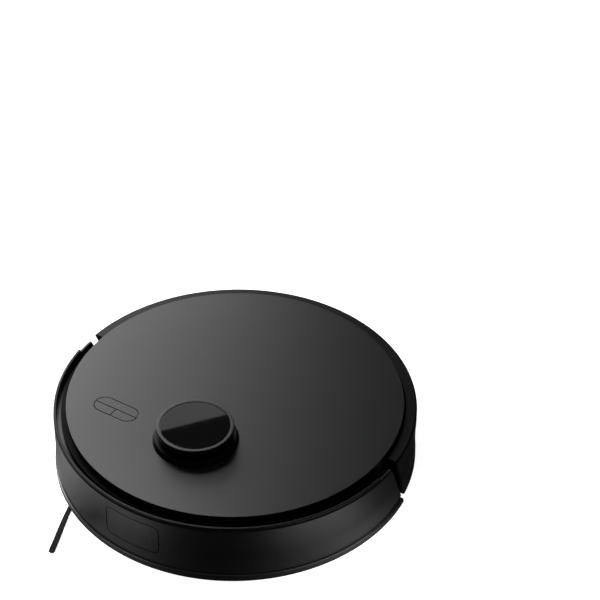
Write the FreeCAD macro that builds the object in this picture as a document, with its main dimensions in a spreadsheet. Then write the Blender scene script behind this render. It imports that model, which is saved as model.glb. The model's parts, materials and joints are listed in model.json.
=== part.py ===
import FreeCAD, Part
import math
import os
import re

import Sketcher
from FreeCAD import Placement, Rotation, Vector

# A round robot vacuum, 350 mm across and 80 mm high without its laser turret.
# Origin: centre of the body on the floor.  +Z is up, the robot drives towards -Y,
# and +X is the robot's own left side.  Millimetres and degrees.

# --------------------------------------------------------------------------
# Driving dimensions: alias, value, what it is
# --------------------------------------------------------------------------
DIMENSIONS = (
    ("BodyRadius", 175, "outer wall of bumper and rear shell"),
    ("WallThickness", 3, "outer wall thickness"),
    ("FloorBottom", 9, "ground clearance"),
    ("FloorThickness", 3, "floor plate of the chassis"),
    ("TubRadius", 158, "outer radius of the inner tub"),
    ("DeckBottom", 69, "underside of the deck frame"),
    ("DeckThickness", 3, "deck frame plate"),
    ("ShoulderRadius", 167.6, "deck shoulder behind the bumper"),
    ("DeckRadius", 161, "deck frame behind the shoulder"),
    ("ShoulderEnd", 12, "the shoulder stops this far in front of the axle line"),
    ("CoverRadius", 162.6, "top cover"),
    ("CoverTop", 79.6, "top face of the cover"),
    ("CoverPlate", 2.4, "cover plate thickness"),
    ("RimTop", 75.6, "top of the rear rim"),
    ("RimInner", 164.2, "inner edge of the rear rim"),
    ("RimPlate", 2.6, "thickness of the rear rim"),
    ("RearBottom", 14, "bottom edge of the rear shell"),
    ("BumperBottom", 9.5, "bottom edge of the bumper"),
    ("BumperTop", 73.2, "top edge of the bumper wall"),
    ("BumperTravel", 3.2, "how far the bumper is pushed in"),
    ("LipRadius", 176.4, "lower lip of the bumper"),
    ("LipTop", 17.2, "top of the lower lip"),
    ("StripBottom", 17.8, "lower edge of the soft strip"),
    ("StripTop", 21.4, "upper edge of the soft strip"),
    ("StripDepth", 1.6, "depth of the strip's channel"),
    ("TrimTop", 75.9, "top of the trim on the bumper"),
    ("TrimInner", 171.9, "inner radius of the trim"),
    ("TrimEnd", 17.6, "the trim stops this far in front of the axle line"),
    ("EndSlope", 23.6, "lean of the bumper ends and the rear shell's front edges"),
    ("NotchWidth", 6.6, "gap between bumper end and rear shell, along Y"),
    ("WindowWidth", 58, "front sensor window"),
    ("WindowBottom", 31, "front sensor window"),
    ("WindowTop", 63, "front sensor window"),
    ("WindowCorner", 6, "corner radius of the front window"),
    ("WindowGap", 0.35, "groove around the front window"),
    ("TurretY", -67.4, "turret axis"),
    ("TurretBaseRadius", 41, "foot of the turret"),
    ("TurretShoulder", 40.2, "turret ring at the top of its flare"),
    ("TurretBaseTop", 83.4, "top of the turret's base ring"),
    ("TurretSlotTop", 91, "underside of the turret cap"),
    ("TurretTop", 97, "top of the turret"),
    ("TurretCapRadius", 36.9, "turret cap"),
    ("InlayRadius", 33, "glossy disc in the cap"),
    ("InlayGap", 0.4, "gap around the glossy disc"),
    ("RotorRadius", 31, "laser rotor drum"),
    ("ButtonX", -88, "centre of the button pill"),
    ("ButtonY", -73.4, "centre of the button pill"),
    ("PillLength", 47, "button pill along X"),
    ("PillWidth", 20.2, "button pill along Y"),
    ("ButtonGap", 0.35, "gap around the buttons"),
    ("WheelX", 114, "middle of each drive wheel"),
    ("WheelRadius", 34, "drive wheel with tyre"),
    ("WheelWidth", 20, "drive wheel"),
    ("TyreThickness", 4, "rubber tyre"),
    ("PivotY", 48, "suspension pivot behind the axle"),
    ("PivotZ", 37, "suspension pivot height"),
    ("CasterY", -126, "caster swivel axis"),
    ("CasterTrail", 6, "caster wheel behind its swivel axis"),
    ("CasterWheel", 10, "caster wheel radius"),
    ("BrushY", 6, "main brush axis"),
    ("BrushZ", 22.4, "main brush axis height"),
    ("BrushRadius", 20.8, "main brush over its blades"),
    ("BrushCore", 12, "main brush core"),
    ("BrushHalf", 78, "half length of the main brush"),
    ("SideBrushX", -111.5, "side brush axis"),
    ("SideBrushY", -93, "side brush axis"),
    ("SideBrushReach", 116.5, "side brush axis to bristle tip"),
    ("SideBrushAngle", -72, "direction of the outer bristle arm"),
    ("FanX", 94, "suction fan axis"),
    ("FanY", 88, "suction fan axis"),
    ("FanRadius", 24, "fan housing"),
    ("BinHalf", 65.5, "half width of the dust bin"),
    ("BinFront", 62, "front wall of the dust bin"),
    ("BinBottom", 17, "underside of the dust bin"),
    ("BinTop", 62, "top of the dust bin"),
    ("BinWall", 2, "bin wall"),
    ("BinGap", 0.6, "gap around the bin's rear panel"),
    ("GrilleFrom", 104, "front end of the exhaust grille, from the front"),
    ("GrilleTo", 132, "rear end of the exhaust grille, from the front"),
    ("GrilleBottom", 26, "exhaust grille"),
    ("GrilleTop", 64, "exhaust grille"),
    ("BatteryHalf", 74, "half width of the battery pack"),
    ("BatteryFront", -93, "battery pack"),
    ("BatteryRear", -31, "battery pack"),
    ("BatteryBottom", 13, "battery pack"),
    ("BatteryThickness", 20, "battery pack"),
)

doc = FreeCAD.newDocument("RobotVacuum")


class Size:
    """A length with its number and the sheet formula that it comes from."""

    def __init__(self, value, formula):
        self.value = float(value)
        self.formula = formula

    def joined(self, other, sign, number):
        other = as_size(other)
        return Size(number(self.value, other.value), f"({self.formula} {sign} {other.formula})")

    def __add__(self, other):
        return self.joined(other, "+", lambda a, b: a + b)

    def __radd__(self, other):
        return as_size(other) + self

    def __sub__(self, other):
        return self.joined(other, "-", lambda a, b: a - b)

    def __rsub__(self, other):
        return as_size(other) - self

    def __mul__(self, other):
        return self.joined(other, "*", lambda a, b: a * b)

    def __rmul__(self, other):
        return as_size(other) * self

    def __truediv__(self, other):
        return self.joined(other, "/", lambda a, b: a / b)

    def __neg__(self):
        return as_size(0) - self


def as_size(amount):
    if isinstance(amount, Size):
        return amount
    return Size(amount, repr(float(amount)))


def cosine(angle):
    angle = as_size(angle)
    return Size(math.cos(math.radians(angle.value)), f"cos({angle.formula})")


def sine(angle):
    angle = as_size(angle)
    return Size(math.sin(math.radians(angle.value)), f"sin({angle.formula})")


def tangent(angle):
    angle = as_size(angle)
    return Size(math.tan(math.radians(angle.value)), f"tan({angle.formula})")


def make_sheet():
    """Put every driving dimension in the sheet, one row each."""
    sheet = doc.addObject("Spreadsheet::Sheet", "Dims")
    found = {}
    for row, (alias, value, meaning) in enumerate(DIMENSIONS, start=1):
        sheet.set(f"A{row}", alias)
        sheet.set(f"B{row}", str(value))
        sheet.set(f"C{row}", meaning)
        sheet.setAlias(f"B{row}", alias)
        found[alias] = Size(value, f"Dims.{alias}")
    doc.recompute()
    return found


D = make_sheet()

FLOOR_TOP = D["FloorBottom"] + D["FloorThickness"]
DECK_TOP = D["DeckBottom"] + D["DeckThickness"]
WALL_INNER = D["BodyRadius"] - D["WallThickness"]
PLATE_BOTTOM = D["CoverTop"] - D["CoverPlate"]
FAR = as_size(400)

SUBPARTS = []


# --------------------------------------------------------------------------
# Small tools
# --------------------------------------------------------------------------
def bind(item, path, amount):
    """Tie one property of an object to the sheet."""
    amount = as_size(amount)
    if re.search("[A-Za-z]", amount.formula):
        item.setExpression(path, amount.formula)
    return amount.value


def place(item, x=0, y=0, z=0, axis=(0, 0, 1), angle=0):
    """Give an object its Placement, with the position bound to the sheet."""
    spot = [as_size(value) for value in (x, y, z)]
    item.Placement = Placement(Vector(*[value.value for value in spot]), Rotation(Vector(*axis), angle))
    for letter, value in zip("xyz", spot):
        bind(item, f"Placement.Base.{letter}", value)
    return item


def subpart(item, label):
    """Name an object as one separate piece of the product."""
    item.Label = label
    SUBPARTS.append(item)
    return item


def new_body(label, x=0, y=0, z=0, axis=(0, 0, 1), angle=0):
    body = doc.addObject("PartDesign::Body", label)
    place(body, x, y, z, axis, angle)
    return subpart(body, label)


def new_sketch(body, role, offset=0):
    """A sketch on one of the body's own origin planes."""
    sketch = body.newObject("Sketcher::SketchObject", "Sketch")
    plane = [item for item in body.Origin.OriginFeatures if item.Role == role][0]
    sketch.AttachmentSupport = [(plane, "")]
    sketch.MapMode = "FlatFace"
    offset = as_size(offset)
    sketch.AttachmentOffset = Placement(Vector(0, 0, offset.value), Rotation())
    bind(sketch, "AttachmentOffset.Base.z", offset)
    return sketch


def fix_point(sketch, geometry, point, spot):
    """Dimension one point of a sketch from the sketch's origin."""
    for kind, amount in zip(("DistanceX", "DistanceY"), spot):
        amount = as_size(amount)
        row = sketch.addConstraint(Sketcher.Constraint(kind, -1, 1, geometry, point, amount.value))
        bind(sketch, f"Constraints[{row}]", amount)


def polygon(sketch, points):
    """A closed outline of straight lines through the points."""
    spots = [(as_size(x), as_size(y)) for x, y in points]
    first = sketch.GeometryCount
    count = len(spots)
    for here, after in zip(spots, spots[1:] + spots[:1]):
        start = Vector(here[0].value, here[1].value, 0)
        end = Vector(after[0].value, after[1].value, 0)
        sketch.addGeometry(Part.LineSegment(start, end), False)
    for row in range(count):
        sketch.addConstraint(Sketcher.Constraint("Coincident", first + row, 2, first + (row + 1) % count, 1))
        fix_point(sketch, first + row, 1, spots[row])


def rectangle(sketch, left, bottom, right, top):
    polygon(sketch, [(left, bottom), (right, bottom), (right, top), (left, top)])


def circle(sketch, radius, x=0, y=0):
    x, y, radius = as_size(x), as_size(y), as_size(radius)
    row = sketch.addGeometry(Part.Circle(Vector(x.value, y.value, 0), Vector(0, 0, 1), radius.value), False)
    fix_point(sketch, row, 3, (x, y))
    size_row = sketch.addConstraint(Sketcher.Constraint("Radius", row, radius.value))
    bind(sketch, f"Constraints[{size_row}]", radius)


def pill(sketch, x, y, length, width):
    """A slot outline along the sketch's X, with round ends."""
    x, y = as_size(x), as_size(y)
    radius = width / 2
    reach = length / 2 - radius
    centres = (Vector((x + reach).value, y.value, 0), Vector((x - reach).value, y.value, 0))
    up = Vector(0, radius.value, 0)
    lines = ((centres[1] - up, centres[0] - up), (centres[0] + up, centres[1] + up))
    for start, end in lines:
        sketch.addGeometry(Part.LineSegment(start, end), False)
    for centre, turn in zip(centres, (-math.pi / 2, math.pi / 2)):
        round_end = Part.Circle(centre, Vector(0, 0, 1), radius.value)
        sketch.addGeometry(Part.ArcOfCircle(round_end, turn, turn + math.pi), False)
    for line, line_end, arc, arc_end in ((0, 2, 2, 1), (2, 2, 1, 1), (1, 2, 3, 1), (3, 2, 0, 1)):
        sketch.addConstraint(Sketcher.Constraint("Tangent", line, line_end, arc, arc_end))
    fix_point(sketch, 2, 3, (x + reach, y))
    fix_point(sketch, 3, 3, (x - reach, y))
    row = sketch.addConstraint(Sketcher.Constraint("Radius", 2, radius.value))
    bind(sketch, f"Constraints[{row}]", radius)


def front_segment(sketch, radius, chord):
    """The part of a disc that lies more than the chord's distance in front of the axle line."""
    radius, chord = as_size(radius), as_size(chord)
    half = math.sqrt(radius.value ** 2 - chord.value ** 2)
    turn = math.atan2(-chord.value, half)
    disc = Part.Circle(Vector(0, 0, 0), Vector(0, 0, 1), radius.value)
    sketch.addGeometry(Part.ArcOfCircle(disc, math.pi - turn, 2 * math.pi + turn), False)
    sketch.addGeometry(Part.LineSegment(Vector(half, -chord.value, 0), Vector(-half, -chord.value, 0)), False)
    sketch.addConstraint(Sketcher.Constraint("Coincident", 0, 3, -1, 1))
    sketch.addConstraint(Sketcher.Constraint("Coincident", 0, 2, 1, 1))
    sketch.addConstraint(Sketcher.Constraint("Coincident", 1, 2, 0, 1))
    sketch.addConstraint(Sketcher.Constraint("Horizontal", 1))
    row = sketch.addConstraint(Sketcher.Constraint("Radius", 0, radius.value))
    bind(sketch, f"Constraints[{row}]", radius)
    row = sketch.addConstraint(Sketcher.Constraint("DistanceY", -1, 1, 1, 1, -chord.value))
    bind(sketch, f"Constraints[{row}]", -chord)


def revolve(body, points, kind="PartDesign::Revolution"):
    """Turn an outline of (radius, height) points about the body's Z axis."""
    sketch = new_sketch(body, "XZ_Plane")
    polygon(sketch, points)
    feature = body.newObject(kind, "Turned")
    feature.Profile = sketch
    feature.ReferenceAxis = (sketch, ["V_Axis"])
    feature.Angle = 360
    doc.recompute()
    return feature


def pad(body, draw, length, role="XY_Plane", offset=0, midplane=False):
    """Raise what draw(sketch) draws, from the offset plane along its normal."""
    sketch = new_sketch(body, role, offset)
    draw(sketch)
    feature = body.newObject("PartDesign::Pad", "Raised")
    feature.Profile = sketch
    feature.Length = bind(feature, "Length", length)
    feature.SideType = "Symmetric" if midplane else "One side"
    doc.recompute()
    return feature


def cut(body, draw, role="XY_Plane", offset=0, depth=None, backwards=False, midplane=False):
    """Cut what draw(sketch) draws out of the body, and see that material goes."""
    before = body.Shape.Volume
    sketch = new_sketch(body, role, offset)
    draw(sketch)
    feature = body.newObject("PartDesign::Pocket", "Opening")
    feature.Profile = sketch
    if depth is None:
        feature.Type = "ThroughAll"
    else:
        feature.Length = bind(feature, "Length", depth)
    feature.SideType = "Symmetric" if midplane else "One side"
    feature.Reversed = backwards
    doc.recompute()
    if body.Shape.Volume > before - 0.5:
        raise RuntimeError(f"{body.Label}: an opening cuts nothing")
    return feature


def fillet(body, radius, wanted):
    """Round the edges that wanted(edge) picks."""
    base = body.Tip
    names = [f"Edge{row}" for row, edge in enumerate(base.Shape.Edges, start=1) if wanted(edge)]
    feature = body.newObject("PartDesign::Fillet", "Rounded")
    feature.Base = (base, names)
    feature.Radius = radius
    doc.recompute()
    return feature


def ring_edge(radius, height):
    """Picks the circular edges about Z with this radius and height."""
    radius, height = as_size(radius).value, as_size(height).value

    def wanted(edge):
        if not isinstance(edge.Curve, Part.Circle):
            return False
        flat = abs(edge.CenterOfMass.z - height) < 0.05
        return flat and abs(edge.Curve.Radius - radius) < 0.05

    return wanted


def polar(body, feature, count):
    """Repeat a feature evenly about the body's Z axis."""
    axis = [item for item in body.Origin.OriginFeatures if item.Role == "Z_Axis"][0]
    pattern = body.newObject("PartDesign::PolarPattern", "Around")
    pattern.Originals = [feature]
    pattern.Axis = (axis, [""])
    pattern.Angle = 360
    pattern.Occurrences = count
    body.Tip = pattern
    doc.recompute()
    return pattern


def box(name, left, front, bottom, right, back, top):
    """A block between two corners."""
    item = doc.addObject("Part::Box", name)
    spots = [as_size(value) for value in (left, front, bottom, right, back, top)]
    for side, low, high in zip(("Length", "Width", "Height"), spots[:3], spots[3:]):
        setattr(item, side, bind(item, side, high - low))
    return place(item, *spots[:3])


def cylinder(name, radius, length, x=0, y=0, z=0, axis=(0, 0, 1), angle=0):
    item = doc.addObject("Part::Cylinder", name)
    item.Radius = bind(item, "Radius", radius)
    item.Height = bind(item, "Height", length)
    return place(item, x, y, z, axis, angle)


def tube(name, outer, inner, length, x=0, y=0, z=0, axis=(0, 0, 1), angle=0):
    return minus(name, cylinder(name + "_outer", outer, length, x, y, z, axis, angle),
                 cylinder(name + "_inner", inner, length, x, y, z, axis, angle))


def minus(name, base, tool):
    item = doc.addObject("Part::Cut", name)
    item.Base = base
    item.Tool = tool
    doc.recompute()
    return item


def common(name, base, tool):
    item = doc.addObject("Part::Common", name)
    item.Base = base
    item.Tool = tool
    doc.recompute()
    return item


def fused(name, shapes):
    item = doc.addObject("Part::MultiFuse", name)
    item.Shapes = shapes
    item.Refine = True
    doc.recompute()
    return item


def group(name, shapes):
    """Several separate solids in one node."""
    item = doc.addObject("Part::Compound", name)
    item.Links = shapes
    doc.recompute()
    return item


def around(radius, angle_from_front):
    """X and Y of a point at this angle from the front, towards the robot's left."""
    return (radius * sine(angle_from_front), -(radius * cosine(angle_from_front)))


ALONG_X = {"axis": (0, 1, 0), "angle": 90}
ALONG_Y = {"axis": (1, 0, 0), "angle": -90}
SIDES = (("left", 1), ("right", -1))
POST_ANGLES = (28, 75, 152, 208, 285, 332)
POST_RADIUS = 149


# --------------------------------------------------------------------------
# Housing
# --------------------------------------------------------------------------
def floor_cut(body, draw):
    """Cut an outline right through the floor plate."""
    return cut(body, draw, depth=D["FloorThickness"] + 2, offset=D["FloorBottom"] - 1, backwards=True)


def make_base_chassis():
    """Floor plate with openings for wheels, brushes, caster and battery, and blind sensor pockets."""
    body = new_body("base_chassis")
    pad(body, lambda sketch: circle(sketch, D["TubRadius"]), D["FloorThickness"], offset=D["FloorBottom"])

    def wheel_wells(sketch):
        for side in (1, -1):
            inner = (D["WheelX"] - 25) * side
            outer = (D["WheelX"] + 13) * side
            left, right = (inner, outer) if side > 0 else (outer, inner)
            rectangle(sketch, left, -40, right, 60)

    def battery_hole(sketch):
        rectangle(sketch, -D["BatteryHalf"] - 1, D["BatteryFront"] - 1, D["BatteryHalf"] + 1, D["BatteryRear"] + 1)

    def screw_holes(radius):
        def draw(sketch):
            for angle in POST_ANGLES:
                x, y = around(as_size(POST_RADIUS), angle)
                circle(sketch, radius, x, y)
        return draw

    def sensor_pockets(sketch):
        for x, y in cliff_sensor_spots():
            rectangle(sketch, x - 9.3, y - 5.3, x + 9.3, y + 5.3)

    floor_cut(body, wheel_wells)
    floor_cut(body, lambda sketch: rectangle(sketch, -85, D["BrushY"] - 26, 85, D["BrushY"] + 26))
    floor_cut(body, lambda sketch: circle(sketch, 21, 0, D["CasterY"]))
    floor_cut(body, lambda sketch: circle(sketch, 3, D["SideBrushX"], D["SideBrushY"]))
    floor_cut(body, battery_hole)
    floor_cut(body, screw_holes(1.7))
    cut(body, screw_holes(3.3), depth=3, offset=D["FloorBottom"] - 1, backwards=True)
    cut(body, sensor_pockets, depth=2.6, offset=D["FloorBottom"] - 1, backwards=True)
    return body


def cliff_sensor_spots():
    """Centres of the four drop sensors round the underside."""
    return [around(as_size(143), angle) for angle in (14, -14, 128, -128)]


def make_cliff_sensors():
    """Four dark windows in the floor's pockets."""
    windows = [box("cliff_window", x - 9, y - 5, D["FloorBottom"] + 0.1, x + 9, y + 5, D["FloorBottom"] + 1.6)
               for x, y in cliff_sensor_spots()]
    return subpart(group("cliff_windows", windows), "cliff_sensor_windows")


def make_tub_wall():
    """Upright ring on the floor plate, open to the rear for the dust bin and at the exhaust."""
    body = new_body("tub_wall")
    wall = D["TubRadius"] - D["WallThickness"]
    revolve(body, [(wall, FLOOR_TOP), (D["TubRadius"], FLOOR_TOP), (D["TubRadius"], D["DeckBottom"]),
                   (wall, D["DeckBottom"])])

    def bin_bay(sketch):
        rectangle(sketch, -D["BinHalf"] - 1, FLOOR_TOP + 1, D["BinHalf"] + 1, D["DeckBottom"] - 1)

    def exhaust(sketch):
        rectangle(sketch, 60, D["GrilleBottom"] + 2, 100, D["GrilleTop"] - 2)

    cut(body, bin_bay, role="XZ_Plane", depth=FAR, offset=-50)
    cut(body, exhaust, role="YZ_Plane", depth=FAR, offset=100, backwards=True)
    return body


def make_deck_posts():
    """Screw posts between floor and deck, one separate turned post per screw."""
    posts = []
    for angle in POST_ANGLES:
        x, y = around(as_size(POST_RADIUS), angle)
        posts.append(tube("post", 4, 1.5, D["DeckBottom"] - FLOOR_TOP, x, y, FLOOR_TOP))
    return subpart(group("post_set", posts), "deck_posts")


def make_rear_shell():
    """Outer wall round the rear, with its rim, bin opening, grille window and contacts."""
    body = new_body("rear_shell")
    inner = D["TubRadius"] + 0.3
    revolve(body, [(inner, D["RearBottom"]), (D["BodyRadius"] - 2, D["RearBottom"]),
                   (D["BodyRadius"], D["RearBottom"] + 2), (D["BodyRadius"], D["RimTop"]),
                   (D["RimInner"], D["RimTop"]), (D["RimInner"], D["RimTop"] - D["RimPlate"]),
                   (WALL_INNER, D["RimTop"] - D["RimPlate"]), (WALL_INNER, D["RearBottom"] + 3),
                   (inner, D["RearBottom"] + 3)])
    fillet(body, 1.6, ring_edge(D["BodyRadius"], D["RimTop"]))

    def front_part(sketch):
        lean = tangent(D["EndSlope"])
        gap = D["NotchWidth"]
        low = gap + D["RimTop"] * lean
        polygon(sketch, [(low, 0), (gap + (D["RimTop"] - 66) * lean, 66), (D["ShoulderEnd"], 66),
                         (D["ShoulderEnd"], 90), (-FAR, 90), (-FAR, 0)])

    cut(body, front_part, role="YZ_Plane", depth=FAR * 2, midplane=True)

    def bin_opening(sketch):
        half = D["BinHalf"] + 3.5
        rectangle(sketch, -half, D["BinBottom"] - 4, half, D["BinTop"] + 4)

    cut(body, bin_opening, role="XZ_Plane", depth=FAR, offset=-100)

    def grille_opening(sketch):
        start = around(as_size(200), D["GrilleFrom"])
        end = around(as_size(200), D["GrilleTo"])
        polygon(sketch, [(0, 0), start, end])

    sector_height = D["GrilleTop"] - D["GrilleBottom"]
    cut(body, grille_opening, offset=D["GrilleBottom"], depth=sector_height, backwards=True)

    def contact_openings(sketch):
        for side in (1, -1):
            left, right = (84, 100) if side > 0 else (-100, -84)
            rectangle(sketch, left, 26, right, 36)

    cut(body, contact_openings, role="XZ_Plane", depth=FAR, offset=-100)
    return body


def make_exhaust_grille():
    """A curved plate with rows of small round holes, set just below the wall."""
    outer = D["BodyRadius"] - 0.6
    height = D["GrilleTop"] - D["GrilleBottom"] - 0.6
    ring = tube("grille_ring", outer, outer - 1.6, height, z=D["GrilleBottom"] + 0.3)
    sector = sector_prism("grille_sector", 200, D["GrilleFrom"] + 0.2, D["GrilleTo"] - 0.2, height,
                          D["GrilleBottom"] + 0.3)
    plate = common("grille_plate", ring, sector)
    holes = []
    for row in range(6):
        for column in range(9):
            angle = 105.5 + column * 3.1 + (row % 2) * 1.5
            level = D["GrilleBottom"] + 4.5 + row * 5.8
            x, y = around(D["BodyRadius"] - 8, angle)
            hole = cylinder("grille_hole", 1.5, 16, x, y, level)
            hole.Placement.Rotation = Rotation(Vector(0, 0, 1), Vector(x.value, y.value, 0))
            holes.append(hole)
    return subpart(minus("exhaust_grille_solid", plate, group("grille_holes", holes)), "exhaust_grille")


def sector_prism(name, radius, start, end, height, bottom):
    """A triangular wedge from the Z axis between two angles."""
    item = doc.addObject("Part::Feature", name)
    corners = [Vector(0, 0, 0)]
    for angle in (start, end):
        x, y = around(as_size(radius), angle)
        corners.append(Vector(x.value, y.value, 0))
    outline = Part.Wire(Part.makePolygon(corners + corners[:1]).Edges)
    item.Shape = Part.Face(outline).extrude(Vector(0, 0, as_size(height).value))
    item.Placement = Placement(Vector(0, 0, as_size(bottom).value), Rotation())
    return item


def make_charging_contacts():
    """Two metal pads that stand just proud of the rear wall."""
    ring = tube("contact_ring", D["BodyRadius"] + 0.4, D["BodyRadius"] - 1.8, 9.4, z=26.3)
    blocks = [box("contact_block", 84.3, 120, 26.3, 99.7, 190, 35.7),
              box("contact_block", -99.7, 120, 26.3, -84.3, 190, 35.7)]
    return subpart(common("contact_pads", ring, group("contact_blocks", blocks)), "charging_contacts")


def make_deck_frame():
    """Plate under the cover: shoulder at the front, wells for turret and buttons."""
    body = new_body("deck_frame")
    pad(body, lambda sketch: circle(sketch, D["DeckRadius"]), D["DeckThickness"], offset=D["DeckBottom"])
    pad(body, lambda sketch: front_segment(sketch, D["ShoulderRadius"], D["ShoulderEnd"]),
        D["DeckThickness"], offset=D["DeckBottom"])

    cut(body, lambda sketch: circle(sketch, 38, 0, D["TurretY"]),
        depth=10, offset=D["DeckBottom"] - 3, backwards=True)

    def button_well(sketch):
        rectangle(sketch, D["ButtonX"] - 27, D["ButtonY"] - 14, D["ButtonX"] + 27, D["ButtonY"] + 14)

    cut(body, button_well, depth=10, offset=D["DeckBottom"] - 3, backwards=True)
    return body


def make_top_cover():
    """Flat disc with a skirt, a hole for the turret and a slot for the buttons."""
    body = new_body("top_cover")
    skirt = D["CoverRadius"] - 2.4
    revolve(body, [(0, PLATE_BOTTOM), (skirt, PLATE_BOTTOM), (skirt, DECK_TOP), (D["CoverRadius"], DECK_TOP),
                   (D["CoverRadius"], D["CoverTop"]), (0, D["CoverTop"])])
    fillet(body, 0.7, ring_edge(D["CoverRadius"], D["CoverTop"]))
    cut(body, lambda sketch: circle(sketch, D["TurretBaseRadius"] + 0.3, 0, D["TurretY"]),
        depth=20, offset=DECK_TOP, backwards=True)
    cut(body, lambda sketch: pill(sketch, D["ButtonX"], D["ButtonY"], D["PillLength"] + 0.7, D["PillWidth"] + 0.7),
        depth=20, offset=DECK_TOP, backwards=True)
    return body


def make_chassis_screws():
    """Pan head screws from below into the deck posts."""
    screws = []
    for angle in POST_ANGLES:
        x, y = around(as_size(POST_RADIUS), angle)
        head = cylinder("screw_head", 2.9, 1.9, x, y, D["FloorBottom"] + 0.1)
        shank = cylinder("screw_shank", 1.4, 16, x, y, D["FloorBottom"] + 1)
        screws.append(fused("screw", [head, shank]))
    return subpart(group("screw_set", screws), "chassis_screws")


# --------------------------------------------------------------------------
# Bumper
# --------------------------------------------------------------------------
def bumper_end(sketch):
    """Side view of everything behind the bumper's leaning ends."""
    lean = tangent(D["EndSlope"])
    polygon(sketch, [((D["RimTop"] - 90) * lean, 90), (D["RimTop"] * lean, 0), (FAR, 0), (FAR, 90)])


def window_prism(name, grow, depth_from, depth_to):
    """Rounded block along Y that outlines the front window."""
    half = D["WindowWidth"] / 2 + grow
    block = box(name + "_block", -half, -depth_to, D["WindowBottom"] - grow,
                half, -depth_from, D["WindowTop"] + grow)
    item = doc.addObject("Part::Fillet", name)
    item.Base = block
    doc.recompute()
    radius = D["WindowCorner"].value + as_size(grow).value
    along_y = [row for row, edge in enumerate(block.Shape.Edges, start=1)
               if abs(edge.tangentAt(edge.FirstParameter).y) > 0.99]
    item.Edges = [(row, radius, radius) for row in along_y]
    doc.recompute()
    return item


def make_bumper_shell():
    """Half ring with leaning ends, a lower lip, and flanges that face the tub."""
    body = new_body("bumper_shell")
    lip = D["LipRadius"]
    channel = D["BodyRadius"] - D["StripDepth"]
    guide = D["TubRadius"] + D["BumperTravel"] + 0.8
    revolve(body, [(guide, D["BumperBottom"]), (lip - 2, D["BumperBottom"]), (lip, D["BumperBottom"] + 3),
                   (lip, D["LipTop"]), (channel, D["StripBottom"]), (channel, D["StripTop"]),
                   (D["BodyRadius"], D["StripTop"]), (D["BodyRadius"], D["BumperTop"] - 0.9),
                   (D["BodyRadius"] - 0.9, D["BumperTop"]), (D["TrimInner"], D["BumperTop"]),
                   (D["TrimInner"], 66), (guide, 66), (guide, 64), (D["TrimInner"], 64),
                   (D["TrimInner"], D["BumperBottom"] + 2.4), (guide, D["BumperBottom"] + 2.4)])
    cut(body, bumper_end, role="YZ_Plane", depth=FAR * 2, midplane=True)

    def window_hole(sketch):
        half = D["WindowWidth"] / 2 + D["WindowGap"]
        rectangle(sketch, -half, D["WindowBottom"] - D["WindowGap"], half, D["WindowTop"] + D["WindowGap"])

    before = body.Shape.Volume
    opening = cut(body, window_hole, role="XZ_Plane", depth=FAR, offset=100, backwards=True)
    corners = [f"Edge{row}" for row, edge in enumerate(opening.Shape.Edges, start=1)
               if isinstance(edge.Curve, Part.Line) and abs(edge.tangentAt(edge.FirstParameter).y) > 0.99
               and abs(abs(edge.CenterOfMass.x) - (D["WindowWidth"] / 2 + D["WindowGap"]).value) < 0.01]
    rounded = body.newObject("PartDesign::Fillet", "Rounded")
    rounded.Base = (opening, corners)
    rounded.Radius = D["WindowCorner"].value + D["WindowGap"].value
    doc.recompute()
    if body.Shape.Volume >= before:
        raise RuntimeError("the front window has no hole")
    return body


def make_bumper_strip():
    """Soft strip in the channel above the lip; it ends ahead of the bumper's ends."""
    ring = tube("strip_ring", D["BodyRadius"] - 0.5, D["BodyRadius"] - D["StripDepth"],
                D["StripTop"] - D["StripBottom"] - 0.2, z=D["StripBottom"] + 0.2)
    rear = box("strip_rear", -FAR, 0, 0, FAR, FAR, 90)
    return subpart(minus("strip", ring, rear), "bumper_strip")


def make_bumper_top_trim():
    """Rail on the bumper's top edge, which stops short of the bumper's ends."""
    ring = tube("trim_ring", D["BodyRadius"] - 0.4, D["TrimInner"], D["TrimTop"] - D["BumperTop"], z=D["BumperTop"])
    rear = box("trim_rear", -FAR, -D["TrimEnd"], 0, FAR, FAR, 90)
    return subpart(minus("trim", ring, rear), "bumper_top_trim")


def make_front_window():
    """Dark sensor window that follows the bumper's curve."""
    ring = tube("window_ring", D["BodyRadius"], WALL_INNER, 60, z=20)
    return subpart(common("window_pane", ring, window_prism("window_outline", 0, 150, 190)), "front_window")


def make_bumper_switches():
    """Two microswitches on the front wall of the tub."""
    switches = []
    for angle in (-35, 35):
        x, y = around(D["TubRadius"] + 3.4, angle)
        item = box("switch", -5, -3, 0, 5, 3, 9)
        tangential = Placement(Vector(x.value, y.value, 40), Rotation(Vector(0, 0, 1), angle))
        item.Placement = tangential.multiply(item.Placement)
        switches.append(item)
    return subpart(group("switch_pair", switches), "bumper_switches")


def coil(name, radius, wire, length, turns, spot, rotation):
    """A round-wire compression spring with its axis along its own Z."""
    path = Part.makeHelix(length / turns, length, radius)
    section = Part.Wire(Part.Circle(Vector(radius, 0, 0), Vector(0, 1, 0), wire).toShape())
    item = doc.addObject("Part::Feature", name)
    item.Shape = Part.Wire(path.Edges).makePipeShell([section], True, True)
    item.Placement = Placement(spot, rotation)
    return item


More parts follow.
